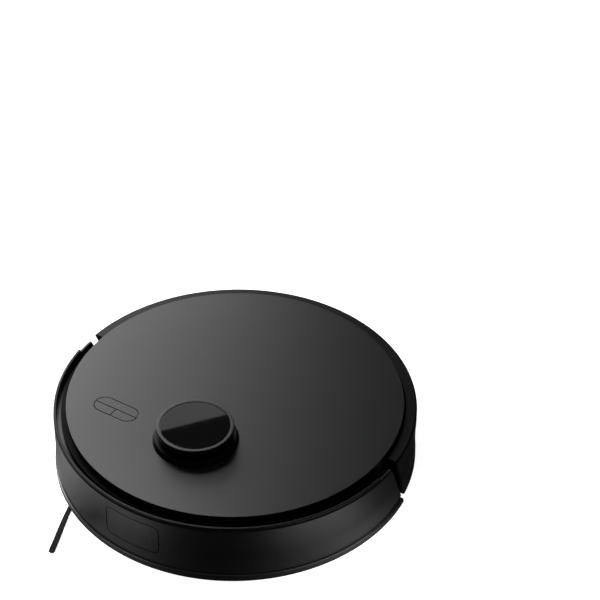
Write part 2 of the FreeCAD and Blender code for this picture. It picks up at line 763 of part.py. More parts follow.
def make_bumper_springs():
    """Two bowed leaf springs that push the bumper forward again."""
    springs = []
    bow = (D["TrimInner"] - D["TubRadius"]).value - 2.4
    half, leaf, width = 18, 0.6, 8
    for angle in (-20, 20):
        x, y = around(D["TubRadius"] + 0.6, angle)
        outer = Part.Arc(Vector(0, -half, 0), Vector(bow, 0, 0), Vector(0, half, 0)).toShape()
        inner = Part.Arc(Vector(0, half - 2, 0), Vector(bow - leaf, 0, 0), Vector(0, 2 - half, 0)).toShape()
        ends = [Part.makeLine(Vector(0, half, 0), Vector(0, half - 2, 0)),
                Part.makeLine(Vector(0, 2 - half, 0), Vector(0, -half, 0))]
        item = doc.addObject("Part::Feature", "leaf_spring")
        item.Shape = Part.Face(Part.Wire([outer, ends[0], inner, ends[1]])).extrude(Vector(0, 0, width))
        outwards = Rotation(Vector(0, 0, 1), math.degrees(math.atan2(y.value, x.value)))
        item.Placement = Placement(Vector(x.value, y.value, 30), outwards)
        springs.append(item)
    return subpart(group("spring_pair", springs), "bumper_springs")


# --------------------------------------------------------------------------
# Laser turret
# --------------------------------------------------------------------------
def make_turret_base():
    """Flared ring on the cover with six posts that carry the cap."""
    body = new_body("turret_base", y=D["TurretY"])
    inner = D["RotorRadius"] + 1.6
    revolve(body, [(inner, D["DeckBottom"] - 1), (inner + 2.4, D["DeckBottom"] - 1), (inner + 2.4, DECK_TOP),
                   (D["TurretBaseRadius"], DECK_TOP), (D["TurretBaseRadius"], D["CoverTop"] + 0.6),
                   (D["TurretShoulder"], D["TurretBaseTop"]), (D["TurretShoulder"] - 1.6, D["TurretBaseTop"] + 1),
                   (inner, D["TurretBaseTop"] + 1)])
    rise = D["TurretSlotTop"] - D["TurretBaseTop"] - 1

    def one_post(sketch):
        rectangle(sketch, inner + 0.4, -1.5, inner + 3.2, 1.5)

    post = pad(body, one_post, rise, offset=D["TurretBaseTop"] + 1)
    polar(body, post, 6)
    return body


def make_turret_cap():
    """Bumper cap of the turret with a recess for the glossy disc."""
    body = new_body("turret_cap", y=D["TurretY"])
    recess = D["InlayRadius"] + D["InlayGap"]
    roof = D["TurretTop"] - 2.6
    revolve(body, [(0, roof), (D["TurretCapRadius"] - 2.4, roof), (D["TurretCapRadius"] - 2.4, D["TurretSlotTop"]),
                   (D["TurretCapRadius"] - 0.2, D["TurretSlotTop"]), (D["TurretCapRadius"], D["TurretTop"] - 0.6),
                   (D["TurretCapRadius"] - 0.5, D["TurretTop"]), (recess, D["TurretTop"]),
                   (recess, D["TurretTop"] - 1.2), (0, D["TurretTop"] - 1.2)])
    return body


def make_turret_inlay():
    """Glossy disc that lies a hair below the cap's rim."""
    body = new_body("turret_inlay", y=D["TurretY"])
    low = D["TurretTop"] - 1.2
    revolve(body, [(0, low), (D["InlayRadius"], low), (D["InlayRadius"], low + 0.7),
                   (D["InlayRadius"] - 0.2, low + 0.9), (0, low + 0.9)])
    return body


def make_lidar_base_plate():
    """Carrier under the rotor, with a spindle and a lug for the motor."""
    body = new_body("lidar_base_plate", y=D["TurretY"])
    pad(body, lambda sketch: circle(sketch, 42), 2, offset=60)
    pad(body, lambda sketch: rectangle(sketch, 20, -10, 54, 10), 2, offset=60)
    pad(body, lambda sketch: circle(sketch, 5), 20, offset=60)

    def legs(sketch):
        for angle in (60, 120, 240, 300):
            circle(sketch, 1.8, 40 * cosine(angle), 40 * sine(angle))

    pad(body, legs, D["DeckBottom"] - 62, offset=62)
    cut(body, lambda sketch: circle(sketch, 2.6, 44, 0), depth=4, offset=59, backwards=True)
    return body


def make_lidar_rotor():
    """Spinning drum that carries the laser; its foot is the belt pulley."""
    body = new_body("lidar_rotor", y=D["TurretY"])
    roof = D["TurretSlotTop"] - 0.6
    revolve(body, [(5.3, 63), (27, 63), (27, 68), (D["RotorRadius"], 68), (D["RotorRadius"], roof - 1),
                   (D["RotorRadius"] - 1, roof), (0, roof), (0, 82), (5.3, 82)])

    def lens_holes(sketch):
        circle(sketch, 4.1, -7, 84)
        circle(sketch, 3.1, 9, 84)

    cut(body, lens_holes, role="XZ_Plane", depth=14, offset=22, backwards=True)
    return body


def make_lidar_motor():
    """Small motor under the carrier; its shaft comes up through the lug."""
    can = cylinder("motor_can", 8, 20, 44, D["TurretY"], 40)
    shaft = cylinder("motor_shaft", 1, 8, 44, D["TurretY"], 60)
    return subpart(fused("lidar_motor_solid", [can, shaft]), "lidar_motor")


def make_lidar_pulley():
    return subpart(tube("pulley", 9, 1.05, 4, 44, D["TurretY"], 63.5), "lidar_pulley")


def make_lidar_belt():
    """Round belt in outline: it wraps the rotor's foot and the motor pulley."""
    item = doc.addObject("Part::Feature", "belt")
    centre = 44
    outer = belt_face(27.9, 9.9, centre)
    inner = belt_face(27.15, 9.15, centre)
    item.Shape = outer.cut(inner).extrude(Vector(0, 0, 1.2))
    item.Placement = Placement(Vector(0, D["TurretY"].value, 65), Rotation())
    return subpart(item, "lidar_belt")


def belt_face(big, small, distance):
    """Two circles and their outer tangents, filled."""
    lean = math.acos((big - small) / distance)
    high = Vector(math.cos(lean), math.sin(lean), 0)
    low = Vector(math.cos(lean), -math.sin(lean), 0)
    far = Vector(distance, 0, 0)
    edges = [Part.Arc(high * big, Vector(-big, 0, 0), low * big).toShape(),
             Part.LineSegment(low * big, far + low * small).toShape(),
             Part.Arc(far + low * small, far + Vector(small, 0, 0), far + high * small).toShape(),
             Part.LineSegment(far + high * small, high * big).toShape()]
    return Part.Face(Part.Wire(edges))


# --------------------------------------------------------------------------
# Buttons and electronics
# --------------------------------------------------------------------------
def half_pill(label, side, left_end, right_end, bottom, top):
    """Part of the button pill: side +1 is the rear half, -1 the front half."""
    body = new_body(label, x=D["ButtonX"], y=D["ButtonY"])
    gap = D["ButtonGap"] / 2
    pad(body, lambda sketch: pill(sketch, 0, 0, D["PillLength"] - D["ButtonGap"], D["PillWidth"] - D["ButtonGap"]),
        top - bottom, offset=bottom)

    def waste(sketch):
        if side > 0:
            rectangle(sketch, -50, -50, 50, gap)
        else:
            rectangle(sketch, -50, -gap, 50, 50)

    cut(body, waste, depth=30, offset=bottom - 1, backwards=True)
    if left_end is not None:
        cut(body, lambda sketch: rectangle(sketch, -50, -50, left_end, 50), depth=30, offset=bottom - 1,
            backwards=True)
    if right_end is not None:
        cut(body, lambda sketch: rectangle(sketch, right_end, -50, 50, 50), depth=30, offset=bottom - 1,
            backwards=True)
    return body


def make_indicator_panel():
    """Rear half of the pill, with three small holes for the lights."""
    body = half_pill("indicator_panel", 1, None, None, DECK_TOP + 2.4, D["CoverTop"])

    def light_holes(sketch):
        for x in (-6, 0, 6):
            circle(sketch, 1, x, 5.6)

    cut(body, light_holes, depth=30, offset=DECK_TOP, backwards=True)
    return body


def make_power_button():
    return half_pill("power_button", -1, None, -D["ButtonGap"] / 2, PLATE_BOTTOM, D["CoverTop"])


def make_home_button():
    return half_pill("home_button", -1, D["ButtonGap"] / 2, None, PLATE_BOTTOM, D["CoverTop"])


def make_button_board():
    """Small board under the pill with two tact switches and three tall lights."""
    board = box("board", D["ButtonX"] - 25, D["ButtonY"] - 12, 69.2, D["ButtonX"] + 25, D["ButtonY"] + 12, 70.8)
    switches = [box("tact", D["ButtonX"] + x - 3, D["ButtonY"] - 8, 70.8, D["ButtonX"] + x + 3,
                    D["ButtonY"] - 2, 75.2) for x in (-11, 11)]
    lights = [cylinder("light", 0.85, 8.6, D["ButtonX"] + x, D["ButtonY"] + 5.6, 70.8) for x in (-6, 0, 6)]
    return subpart(fused("button_board_solid", [board] + switches + lights), "button_board")


def make_main_board():
    board = box("board", -84, -98, 37, 26, -36, 38.6)
    parts = [box("chip", -70, -84, 38.6, -50, -64, 41), box("chip", -30, -80, 38.6, -16, -66, 40.6),
             box("socket", -80, -56, 38.6, -72, -40, 46), box("socket", 10, -90, 38.6, 22, -82, 45)]
    return subpart(fused("main_board_solid", [board] + parts), "main_board")


def make_battery_pack():
    return subpart(box("battery_pack", -D["BatteryHalf"], D["BatteryFront"], D["BatteryBottom"], D["BatteryHalf"],
                       D["BatteryRear"], D["BatteryBottom"] + D["BatteryThickness"]), "battery_pack")


def make_battery_door():
    return subpart(box("battery_door", -D["BatteryHalf"] - 0.6, D["BatteryFront"] - 0.6, D["FloorBottom"],
                       D["BatteryHalf"] + 0.6, D["BatteryRear"] + 0.6, FLOOR_TOP - 0.4), "battery_door")


# --------------------------------------------------------------------------
# Suction and dust bin
# --------------------------------------------------------------------------
def make_fan_housing():
    """Round housing with a side outlet towards the grille and an inlet in its roof."""
    body = new_body("fan_housing", x=D["FanX"], y=D["FanY"])
    radius = D["FanRadius"]
    revolve(body, [(0, FLOOR_TOP), (radius, FLOOR_TOP), (radius, 52), (11, 52), (11, 50), (radius - 2, 50),
                   (radius - 2, 36), (10, 36), (10, 34), (radius - 2, 34), (radius - 2, 14), (0, 14)])
    cut(body, lambda sketch: rectangle(sketch, -8, 38, 8, 49), role="YZ_Plane", depth=30, backwards=True)
    return body


def make_fan_motor():
    can = cylinder("fan_can", 16, 19, D["FanX"], D["FanY"], 14.2)
    shaft = cylinder("fan_shaft", 1.5, 11, D["FanX"], D["FanY"], 33)
    return subpart(fused("fan_motor_solid", [can, shaft]), "fan_motor")


def make_fan_impeller():
    """Backplate with nine straight vanes on the motor shaft."""
    body = new_body("fan_impeller", x=D["FanX"], y=D["FanY"])
    revolve(body, [(1.6, 38), (20, 38), (20, 39.5), (5, 39.5), (4, 46), (1.6, 46)])
    vane = pad(body, lambda sketch: rectangle(sketch, 4, -0.6, 19.5, 0.6), 7.5, offset=39)
    polar(body, vane, 9)
    return body


def make_dustbin_body():
    """Open-topped bin with its rear panel, which is part of the robot's outer wall."""
    body = new_body("dustbin_body")
    half = D["BinHalf"]
    low, high = D["BinBottom"], D["BinTop"]
    wall = D["BinWall"]

    def panel_shape(sketch):
        circle(sketch, D["BodyRadius"])
        circle(sketch, WALL_INNER)

    pad(body, panel_shape, high - low + 6.8, offset=low - 3.4)

    def panel_waste(sketch):
        edge = half + 3.5 - D["BinGap"]
        polygon(sketch, [(-edge, FAR), (-FAR, FAR), (-FAR, -FAR), (FAR, -FAR), (FAR, FAR), (edge, FAR), (edge, 0),
                         (-edge, 0)])

    cut(body, panel_waste, depth=FAR, offset=-1, backwards=True)
    pad(body, lambda sketch: rectangle(sketch, -half, D["BinFront"], half, 156), high - low - 2, offset=low)
    pad(body, lambda sketch: rectangle(sketch, -28, 155, 28, 173), 35, offset=low)
    cut(body, lambda sketch: rectangle(sketch, -half + wall, D["BinFront"] + wall, half - wall, 156 - wall),
        depth=FAR, offset=low + wall, backwards=True)

    def dust_channel(sketch):
        rectangle(sketch, -25, low + 3, 25, low + 32)

    def dust_outlet(sketch):
        rectangle(sketch, -16, low + 8, 16, low + 25)

    def latch_hole(sketch):
        rectangle(sketch, -13.4, high - 15.4, 13.4, high - 4.6)

    cut(body, dust_channel, role="XZ_Plane", depth=19, offset=-150)
    cut(body, dust_outlet, role="XZ_Plane", depth=20, offset=-160)
    def latch_recess(sketch):
        rectangle(sketch, -15.6, high - 16.6, 15.6, high - 2.4)

    cut(body, latch_hole, role="XZ_Plane", depth=20, offset=-160)
    cut(body, latch_recess, role="XZ_Plane", depth=10, offset=-160)
    cut(body, lambda sketch: circle(sketch, 1.06, 167.1, low + 27.4), role="YZ_Plane", depth=53.4, midplane=True)
    return body


def make_bin_release():
    """Thumb latch in the rear panel: it is pressed in to free the bin."""
    body = new_body("bin_release_button")
    pad(body, lambda sketch: rectangle(sketch, -13, D["BinTop"] - 15, 13, D["BinTop"] - 5), 5.2,
        role="XZ_Plane", offset=-(D["BodyRadius"] + 0.2))
    pad(body, lambda sketch: rectangle(sketch, -15, D["BinTop"] - 16.2, 15, D["BinTop"] - 3), 1,
        role="XZ_Plane", offset=-(WALL_INNER - 2.4))
    return body


def make_evacuation_flap():
    """Flap on the inside of the panel's dust outlet; it swings inwards about its top edge."""
    flap = box("flap_plate", -19, 166.2, D["BinBottom"] + 5, 19, 168, D["BinBottom"] + 27)
    pin = cylinder("flap_pin", 1, 53, -26.5, 167.1, D["BinBottom"] + 27.4, **ALONG_X)
    return subpart(fused("flap_solid", [flap, pin]), "evacuation_flap")


def make_dustbin_lid():
    half = D["BinHalf"]
    frame = box("lid_plate", -half, D["BinFront"], D["BinTop"] - 2, half, 156, D["BinTop"])
    inlet = box("lid_inlet", -30, D["BinFront"] + 6, D["BinTop"] - 3, 30, D["BinFront"] + 26, D["BinTop"] + 1)
    return subpart(minus("lid", frame, inlet), "dustbin_lid")


def make_dustbin_filter():
    """Pleated filter block under the lid's opening."""
    pleats = [box("pleat", -30 + step * 3, D["BinFront"] + 6, D["BinTop"] - 12, -28.4 + step * 3,
                  D["BinFront"] + 26, D["BinTop"] - 3.2) for step in range(20)]
    frame = box("filter_floor", -31, D["BinFront"] + 5, D["BinTop"] - 13.5, 31, D["BinFront"] + 27,
                D["BinTop"] - 12)
    return subpart(fused("filter_solid", [frame] + pleats), "dustbin_filter")


# --------------------------------------------------------------------------
# Brushes
# --------------------------------------------------------------------------
def make_brush_chamber():
    """Half-round hood over the main brush, open downwards."""
    body = new_body("brush_chamber", x=-D["BrushHalf"] - 0.3, y=D["BrushY"], z=D["BrushZ"], axis=(0, 1, 0), angle=90)
    inner = D["BrushRadius"] + 1.6

    def hood(sketch):
        circle(sketch, inner + 1.8)
        circle(sketch, inner)

    pad(body, hood, D["BrushHalf"] * 2 + 0.6)
    cut(body, lambda sketch: rectangle(sketch, 9, -60, 60, 60), depth=200, offset=-10, backwards=True)
    return body


def make_main_brush_core():
    """Brush tube with a spigot at each end."""
    core = cylinder("core_tube", D["BrushCore"], D["BrushHalf"] * 2, -D["BrushHalf"], D["BrushY"], D["BrushZ"],
                    **ALONG_X)
    spigot = cylinder("core_spigot", 3, D["BrushHalf"] * 2 + 9, -D["BrushHalf"] - 4.5, D["BrushY"], D["BrushZ"],
                      **ALONG_X)
    return subpart(fused("core_solid", [core, spigot]), "main_brush_core")


def make_main_brush_blades():
    """Six rubber blades round the core."""
    body = new_body("main_brush_blades", x=-D["BrushHalf"], y=D["BrushY"], z=D["BrushZ"], axis=(0, 1, 0), angle=90)

    def sleeve(sketch):
        circle(sketch, D["BrushCore"] + 1.2)
        circle(sketch, D["BrushCore"])

    pad(body, sleeve, D["BrushHalf"] * 2)
    blade = pad(body, lambda sketch: rectangle(sketch, D["BrushCore"] + 0.6, -0.8, D["BrushRadius"], 0.8),
                D["BrushHalf"] * 2)
    polar(body, blade, 6)
    return body


def make_brush_bearing_cap():
    block = box("cap_block", -84, D["BrushY"] - 8, D["BrushZ"] - 8, -78.5, D["BrushY"] + 8, D["BrushZ"] + 8)
    bore = cylinder("cap_bore", 3.08, 14, -90, D["BrushY"], D["BrushZ"], **ALONG_X)
    return subpart(minus("cap_solid", block, bore), "brush_bearing_cap")


def make_brush_gearbox():
    """Gear case at the driven end, with its motor above."""
    case = box("case", 78.5, D["BrushY"] - 12, D["BrushZ"] - 8, 84, D["BrushY"] + 12, D["BrushZ"] + 30)
    motor = cylinder("brush_motor", 9, 26, 58, D["BrushY"], 57.5, **ALONG_X)
    bore = cylinder("case_bore", 3.08, 10, 76, D["BrushY"], D["BrushZ"], **ALONG_X)
    upper = box("case_top", 78.5, D["BrushY"] - 9, 50, 84, D["BrushY"] + 9, 67)
    return subpart(minus("gearbox_solid", fused("gearbox_block", [case, upper, motor]), bore), "brush_gearbox")


def make_brush_guard():
    """Removable frame round the brush mouth."""
    body = new_body("brush_guard")
    front, rear = D["BrushY"] - 34, D["BrushY"] + 34

    def frame(sketch):
        rectangle(sketch, -87, front, 87, rear)
        rectangle(sketch, -81, D["BrushY"] - 23, 81, D["BrushY"] + 23)

    pad(body, frame, 2, offset=D["FloorBottom"] - 2.1)
    return body


def make_side_brush_motor():
    block = cylinder("side_gear", 13, 18, D["SideBrushX"] + 4, D["SideBrushY"] + 4, FLOOR_TOP + 0.2)
    bore = cylinder("side_bore", 2.6, 30, D["SideBrushX"], D["SideBrushY"], 0)
    return subpart(minus("side_motor_solid", block, bore), "side_brush_motor")


def make_side_brush_hub():
    """Round hub under the floor with a shaft up into the gear case."""
    hub = cylinder("hub_disc", 11, 3.2, D["SideBrushX"], D["SideBrushY"], 5.4)
    shaft = cylinder("hub_shaft", 2.5, 18, D["SideBrushX"], D["SideBrushY"], 8)
    return subpart(fused("hub_solid", [hub, shaft]), "side_brush_hub")


def make_side_brush_bristles():
    """Two opposite bristle arms that droop towards the floor."""
    arms = []
    for turn in (0, 180):
        angle = math.radians(D["SideBrushAngle"].value + turn)
        reach = D["SideBrushReach"].value
        start, low, high = 8, 1.8, 7
        direction = Vector(math.cos(angle) * (reach - start), math.sin(angle) * (reach - start), low - high)
        arm = doc.addObject("Part::Cylinder", "arm")
        arm.Radius = 1.6
        arm.Height = direction.Length
        spot = Vector(D["SideBrushX"].value, D["SideBrushY"].value, high)
        spot += Vector(math.cos(angle), math.sin(angle), 0) * start
        arm.Placement = Placement(spot, Rotation(Vector(0, 0, 1), direction))
        arms.append(arm)
    doc.recompute()
    return subpart(group("arm_pair", arms), "side_brush_bristles")


# --------------------------------------------------------------------------
# Running gear
# --------------------------------------------------------------------------
def make_tyre(name, side):
    """Rubber tyre with shallow lugs."""
    centre = D["WheelX"] * side - D["WheelWidth"] / 2
    body = new_body(f"{name}_tyre", x=centre, y=0, z=D["WheelRadius"], axis=(0, 1, 0), angle=90)
    inner = D["WheelRadius"] - D["TyreThickness"]

    def tread(sketch):
        circle(sketch, D["WheelRadius"] - 1)
        circle(sketch, inner)

    pad(body, tread, D["WheelWidth"])
    lug = pad(body, lambda sketch: rectangle(sketch, D["WheelRadius"] - 2, -1.6, D["WheelRadius"] - 0.04, 1.6),
              D["WheelWidth"])
    polar(body, lug, 30)
    return body


def make_wheel_hub(name, side):
    """Wheel with a web and a stub axle that points inwards."""
    rim = D["WheelRadius"] - D["TyreThickness"]
    centre = D["WheelX"] * side - D["WheelWidth"] / 2
    body = new_body(f"{name}_wheel_hub", x=centre, y=0, z=D["WheelRadius"], axis=(0, 1, 0), angle=90)
    web = [(0, 7), (rim - 3, 7), (rim - 3, 0.5), (rim, 0.5), (rim, D["WheelWidth"] - 0.5),
           (rim - 3, D["WheelWidth"] - 0.5), (rim - 3, 11), (0, 11)]
    revolve(body, web)
    if side > 0:
        pad(body, lambda sketch: circle(sketch, 3), 15, offset=-8)
    else:
        pad(body, lambda sketch: circle(sketch, 3), 18, offset=10)
    return body


def make_wheel_arm(name, side):
    """Gear case and motor on a swing arm, with a bore for the axle and one for the pivot pin."""
    inner = D["WheelX"] * side - side * 22
    outer = D["WheelX"] * side - side * 11.5
    left, right = (inner, outer) if side > 0 else (outer, inner)
    arm = box(f"{name}_arm_block", left, -10, D["WheelRadius"] - 8, right, D["PivotY"] + 8, D["WheelRadius"] + 11)
    bores = group(f"{name}_arm_bores", [
        cylinder("axle_bore", 3.06, 40, left - 10, 0, D["WheelRadius"], **ALONG_X),
        cylinder("pivot_bore", 3.06, 40, left - 10, D["PivotY"], D["PivotZ"], **ALONG_X)])
    motor = cylinder(f"{name}_motor", 7, 24, D["WheelX"] * side - side * 17.3, 15, D["WheelRadius"] + 17.4, **ALONG_Y)
    drive = fused(f"{name}_drive", [arm, motor])
    return subpart(minus(f"{name}_arm_solid", drive, bores), f"{name}_wheel_arm")


def make_pivot_brackets():
    """A fixed pin through each arm, held in two lugs that hang from the deck."""
    brackets = []
    for name, side in SIDES:
        inner = D["WheelX"] * side - side * 24.5
        outer = D["WheelX"] * side - side * 9
        left, right = (inner, outer) if side > 0 else (outer, inner)
        pieces = [cylinder("pin", 3, right - left, left, D["PivotY"], D["PivotZ"], **ALONG_X)]
        for edge in (left, right - 2):
            pieces.append(box("lug", edge, D["PivotY"] - 5, D["PivotZ"] - 5, edge + 2, D["PivotY"] + 5,
                              D["DeckBottom"]))
        brackets.append(fused(f"{name}_bracket", pieces))
    return subpart(group("bracket_pair", brackets), "pivot_brackets")


def make_suspension_spring(name, side):
    """Spring between the swing arm and the deck."""
    foot = D["WheelRadius"].value + 12
    length = D["DeckBottom"].value - foot - 1
    spot = Vector(D["WheelX"].value * side - side * 17.3, 2, foot)
    return subpart(coil(f"{name}_spring", 3.6, 0.5, length, 6, spot, Rotation()), f"{name}_suspension_spring")


def make_caster_fork():
    """Swivelling cup with a slot for the wheel and a stem in the socket."""
    y = D["CasterY"]
    cup = cylinder("cup", 18, 15, 0, y, 7)
    stem = cylinder("stem", 3, 16, 0, y, 20)
    slot = box("slot", -6, y + D["CasterTrail"] - 11, 0, 6, y + 30, 20.8)
    pin_bore = cylinder("pin_bore", 1.45, 30, -15, y + D["CasterTrail"], D["CasterWheel"], **ALONG_X)
    return subpart(minus("fork", fused("fork_block", [cup, stem]), group("fork_waste", [slot, pin_bore])),
                   "caster_fork")


def make_caster_wheel():
    y = D["CasterY"] + D["CasterTrail"]
    wheel = cylinder("roller", D["CasterWheel"], 11, -5.5, y, D["CasterWheel"], **ALONG_X)
    pin = cylinder("roller_pin", 1.4, 22, -11, y, D["CasterWheel"], **ALONG_X)
    return subpart(fused("roller_solid", [wheel, pin]), "caster_wheel")


def make_caster_socket():
    """Fixed cap over the fork, with the bore for its stem."""
    body = new_body("caster_socket", y=D["CasterY"])
    revolve(body, [(3.08, 22.6), (20.4, 22.6), (20.4, FLOOR_TOP), (24, FLOOR_TOP), (24, 25), (7, 25), (6, 36),
                   (3.08, 36)])
    return body


def build():
    make_base_chassis()
    make_cliff_sensors()
    make_tub_wall()
    make_deck_posts()
    make_rear_shell()
    make_exhaust_grille()
    make_charging_contacts()
    make_deck_frame()
    make_top_cover()
    make_chassis_screws()
    make_bumper_shell()
    make_bumper_strip()
    make_bumper_top_trim()
    make_front_window()
    make_bumper_switches()
    make_bumper_springs()
    make_turret_base()
    make_turret_cap()
    make_turret_inlay()
    make_lidar_base_plate()
    make_lidar_rotor()
    make_lidar_motor()
    make_lidar_pulley()
    make_lidar_belt()
    make_indicator_panel()
    make_power_button()
    make_home_button()
    make_button_board()
    make_main_board()
    make_battery_pack()
    make_battery_door()
    make_fan_housing()
    make_fan_motor()
    make_fan_impeller()
    make_dustbin_body()
    make_bin_release()
    make_evacuation_flap()
    make_dustbin_lid()
    make_dustbin_filter()
    make_brush_chamber()
    make_main_brush_core()
    make_main_brush_blades()
    make_brush_bearing_cap()
    make_brush_gearbox()
    make_brush_guard()
    make_side_brush_motor()
    make_side_brush_hub()
    make_side_brush_bristles()
    for name, side in SIDES:
        make_tyre(name, side)
        make_wheel_hub(name, side)
        make_wheel_arm(name, side)
        make_suspension_spring(name, side)
    make_pivot_brackets()
    make_caster_fork()
    make_caster_wheel()
    make_caster_socket()


def check_and_export():
    """Stop on any failed object or bad shape, then write one file per piece."""
    doc.recompute()
    for item in doc.Objects:
        if "Invalid" in item.State or "Error" in item.State:
            raise RuntimeError(f"{item.Label} failed")
    os.makedirs("parts", exist_ok=True)
    for item in SUBPARTS:
        if item.Shape.isNull() or not item.Shape.isValid():
            raise RuntimeError(f"{item.Label} has a bad shape")
    for item in SUBPARTS:
        item.Shape.exportStep(f"parts/{item.Label}.step")


build()
check_and_export()
print(len(SUBPARTS), "sub-parts")
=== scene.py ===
import json
import random
from math import asin, atan2, cos, degrees, dist, hypot, pi, radians, sin, sqrt, tan

import bmesh
import bpy
from mathutils import Matrix, Vector


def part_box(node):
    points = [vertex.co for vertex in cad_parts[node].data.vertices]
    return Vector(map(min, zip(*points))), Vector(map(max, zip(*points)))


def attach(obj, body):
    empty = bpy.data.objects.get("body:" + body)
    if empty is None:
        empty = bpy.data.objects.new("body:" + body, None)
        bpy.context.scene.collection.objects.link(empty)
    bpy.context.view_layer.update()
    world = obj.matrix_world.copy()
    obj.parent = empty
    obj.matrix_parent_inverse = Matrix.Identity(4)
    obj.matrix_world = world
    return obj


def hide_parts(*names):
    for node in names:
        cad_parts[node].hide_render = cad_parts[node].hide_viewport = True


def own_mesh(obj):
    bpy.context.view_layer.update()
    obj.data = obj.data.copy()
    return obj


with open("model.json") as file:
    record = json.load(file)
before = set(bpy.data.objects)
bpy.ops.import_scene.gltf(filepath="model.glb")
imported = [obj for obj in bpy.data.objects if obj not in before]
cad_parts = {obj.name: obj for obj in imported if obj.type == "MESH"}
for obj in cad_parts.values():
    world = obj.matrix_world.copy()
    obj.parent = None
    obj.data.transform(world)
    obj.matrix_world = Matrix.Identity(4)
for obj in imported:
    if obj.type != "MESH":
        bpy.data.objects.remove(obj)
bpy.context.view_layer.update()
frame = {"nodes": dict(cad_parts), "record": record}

# A round robot vacuum. Front is -Y, +X is the robot's left, +Z is up.
# Lengths are in millimetres, and from_lists, plate_of, shifted and finish turn them into metres.
MM = 0.001


def span(node):
    """Lowest and highest corner of a CAD node."""
    low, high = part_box(node)
    return Vector(low) / MM, Vector(high) / MM


COVER_LOW, COVER_HIGH = span("top_cover")
BUMPER_LOW, BUMPER_HIGH = span("bumper_shell")
REAR_LOW, REAR_HIGH = span("rear_shell")
BASE_LOW, BASE_HIGH = span("turret_base")
CAP_LOW, CAP_HIGH = span("turret_cap")
INLAY_LOW, INLAY_HIGH = span("turret_inlay")
STRIP_LOW, STRIP_HIGH = span("bumper_strip")
TRIM_LOW, TRIM_HIGH = span("bumper_top_trim")
WINDOW_LOW, WINDOW_HIGH = span("front_window")
PANEL_LOW, PANEL_HIGH = span("indicator_panel")
KEY_LOW = span("power_button")[0]
GRILLE_LOW, GRILLE_HIGH = span("exhaust_grille")
BIN_LOW, BIN_HIGH = span("dustbin_body")

BODY_RADIUS = BIN_HIGH.y
COVER_RADIUS = COVER_HIGH.x
COVER_TOP = COVER_HIGH.z
RIM_TOP = REAR_HIGH.z
TURRET_Y = (CAP_LOW.y + CAP_HIGH.y) / 2
CAP_RADIUS = CAP_HIGH.x
END_LEAN = tan(radians(23.6))
NOTCH = 6.6
PILL_X = (PANEL_LOW.x + PANEL_HIGH.x) / 2
PILL_Y = (KEY_LOW.y + PANEL_HIGH.y) / 2
PILL_LENGTH = PANEL_HIGH.x - PANEL_LOW.x
PILL_WIDTH = PANEL_HIGH.y - KEY_LOW.y
# How far from the Z axis a cutter starts and ends when it goes through the outer wall.
NEAR_WALL, PAST_WALL = 150, 190
SHELF_LOW, SHELF_HIGH = 64, 66


# --------------------------------------------------------------------------
# Materials
# --------------------------------------------------------------------------
def set_inputs(node, **values):
    """Default values of a node's inputs, with an underscore for each space in a name."""
    for name, value in values.items():
        node.inputs[name.replace("_", " ")].default_value = value


def add_node(tree, kind, **values):
    node = tree.nodes.new("ShaderNode" + kind)
    set_inputs(node, **values)
    return node


MATERIALS = {}


def new_material(name):
    material = bpy.data.materials.new(name)
    MATERIALS[name] = material
    material.use_nodes = True
    tree = material.node_tree
    return material, tree, tree.nodes["Principled BSDF"]


def noise(tree, scale, detail=3, stretch=(1, 1, 1)):
    """Object-space noise, so that it stays put on the part."""
    coordinates = add_node(tree, "TexCoord")
    mapping = add_node(tree, "Mapping", Scale=stretch)
    texture = add_node(tree, "TexNoise", Scale=scale, Detail=detail)
    tree.links.new(coordinates.outputs["Object"], mapping.inputs["Vector"])
    tree.links.new(mapping.outputs["Vector"], texture.inputs["Vector"])
    return texture.outputs["Fac"]


def ramp(tree, value, low, high, colours):
    """Colour between two stops as value goes from low to high."""
    node = add_node(tree, "ValToRGB")
    for stop, place, colour in zip(node.color_ramp.elements, (low, high), colours):
        stop.position = place
        stop.color = (*colour, 1)
    tree.links.new(value, node.inputs["Fac"])
    return node.outputs["Color"]


def between(tree, value, low, high):
    """A number from low to high as value goes from 0.3 to 0.7."""
    node = add_node(tree, "MapRange", From_Min=0.3, From_Max=0.7, To_Min=low, To_Max=high)
    tree.links.new(value, node.inputs["Value"])
    return node.outputs["Result"]


def bump(tree, shader, height, strength, depth):
    node = add_node(tree, "Bump", Strength=strength, Distance=depth * MM)
    tree.links.new(height, node.inputs["Height"])
    tree.links.new(node.outputs["Normal"], shader.inputs["Normal"])


def surface(name, colours, roughness, relief, specular=0.5, metallic=0):
    """A material whose colour, roughness and relief each follow a noise.
    colours is (noise, first stop, last stop, two colours), roughness (noise, low, high)
    and relief (noise, strength, depth)."""
    material, tree, shader = new_material(name)
    settings, low, high, pair = colours
    tree.links.new(ramp(tree, noise(tree, *settings), low, high, pair), shader.inputs["Base Color"])
    settings, low, high = roughness
    tree.links.new(between(tree, noise(tree, *settings), low, high), shader.inputs["Roughness"])
    settings, strength, depth = relief
    bump(tree, shader, noise(tree, *settings), strength, depth)
    set_inputs(shader, Specular_IOR_Level=specular, Metallic=metallic)
    return material


def greys(low, high):
    return (low,) * 3, (high,) * 3


def moulded(name, dark, light, roughness, grain=2600, depth=0.02, specular=0.5, spread=0.05):
    """Injection-moulded plastic: fine grain, faint flow clouds and handling marks."""
    return surface(name, ((9, 4), 0.3, 0.75, (dark, light)),
                   ((38, 5), roughness - spread, roughness + spread), ((grain, 2), 0.25, depth), specular)


def rubber(name, shade, roughness=0.72):
    return surface(name, ((60, 6), 0.35, 0.7, greys(shade * 0.8, shade * 1.5)),
                   ((140, 4), roughness - 0.1, roughness + 0.08), ((900, 4), 0.35, 0.05), 0.35)


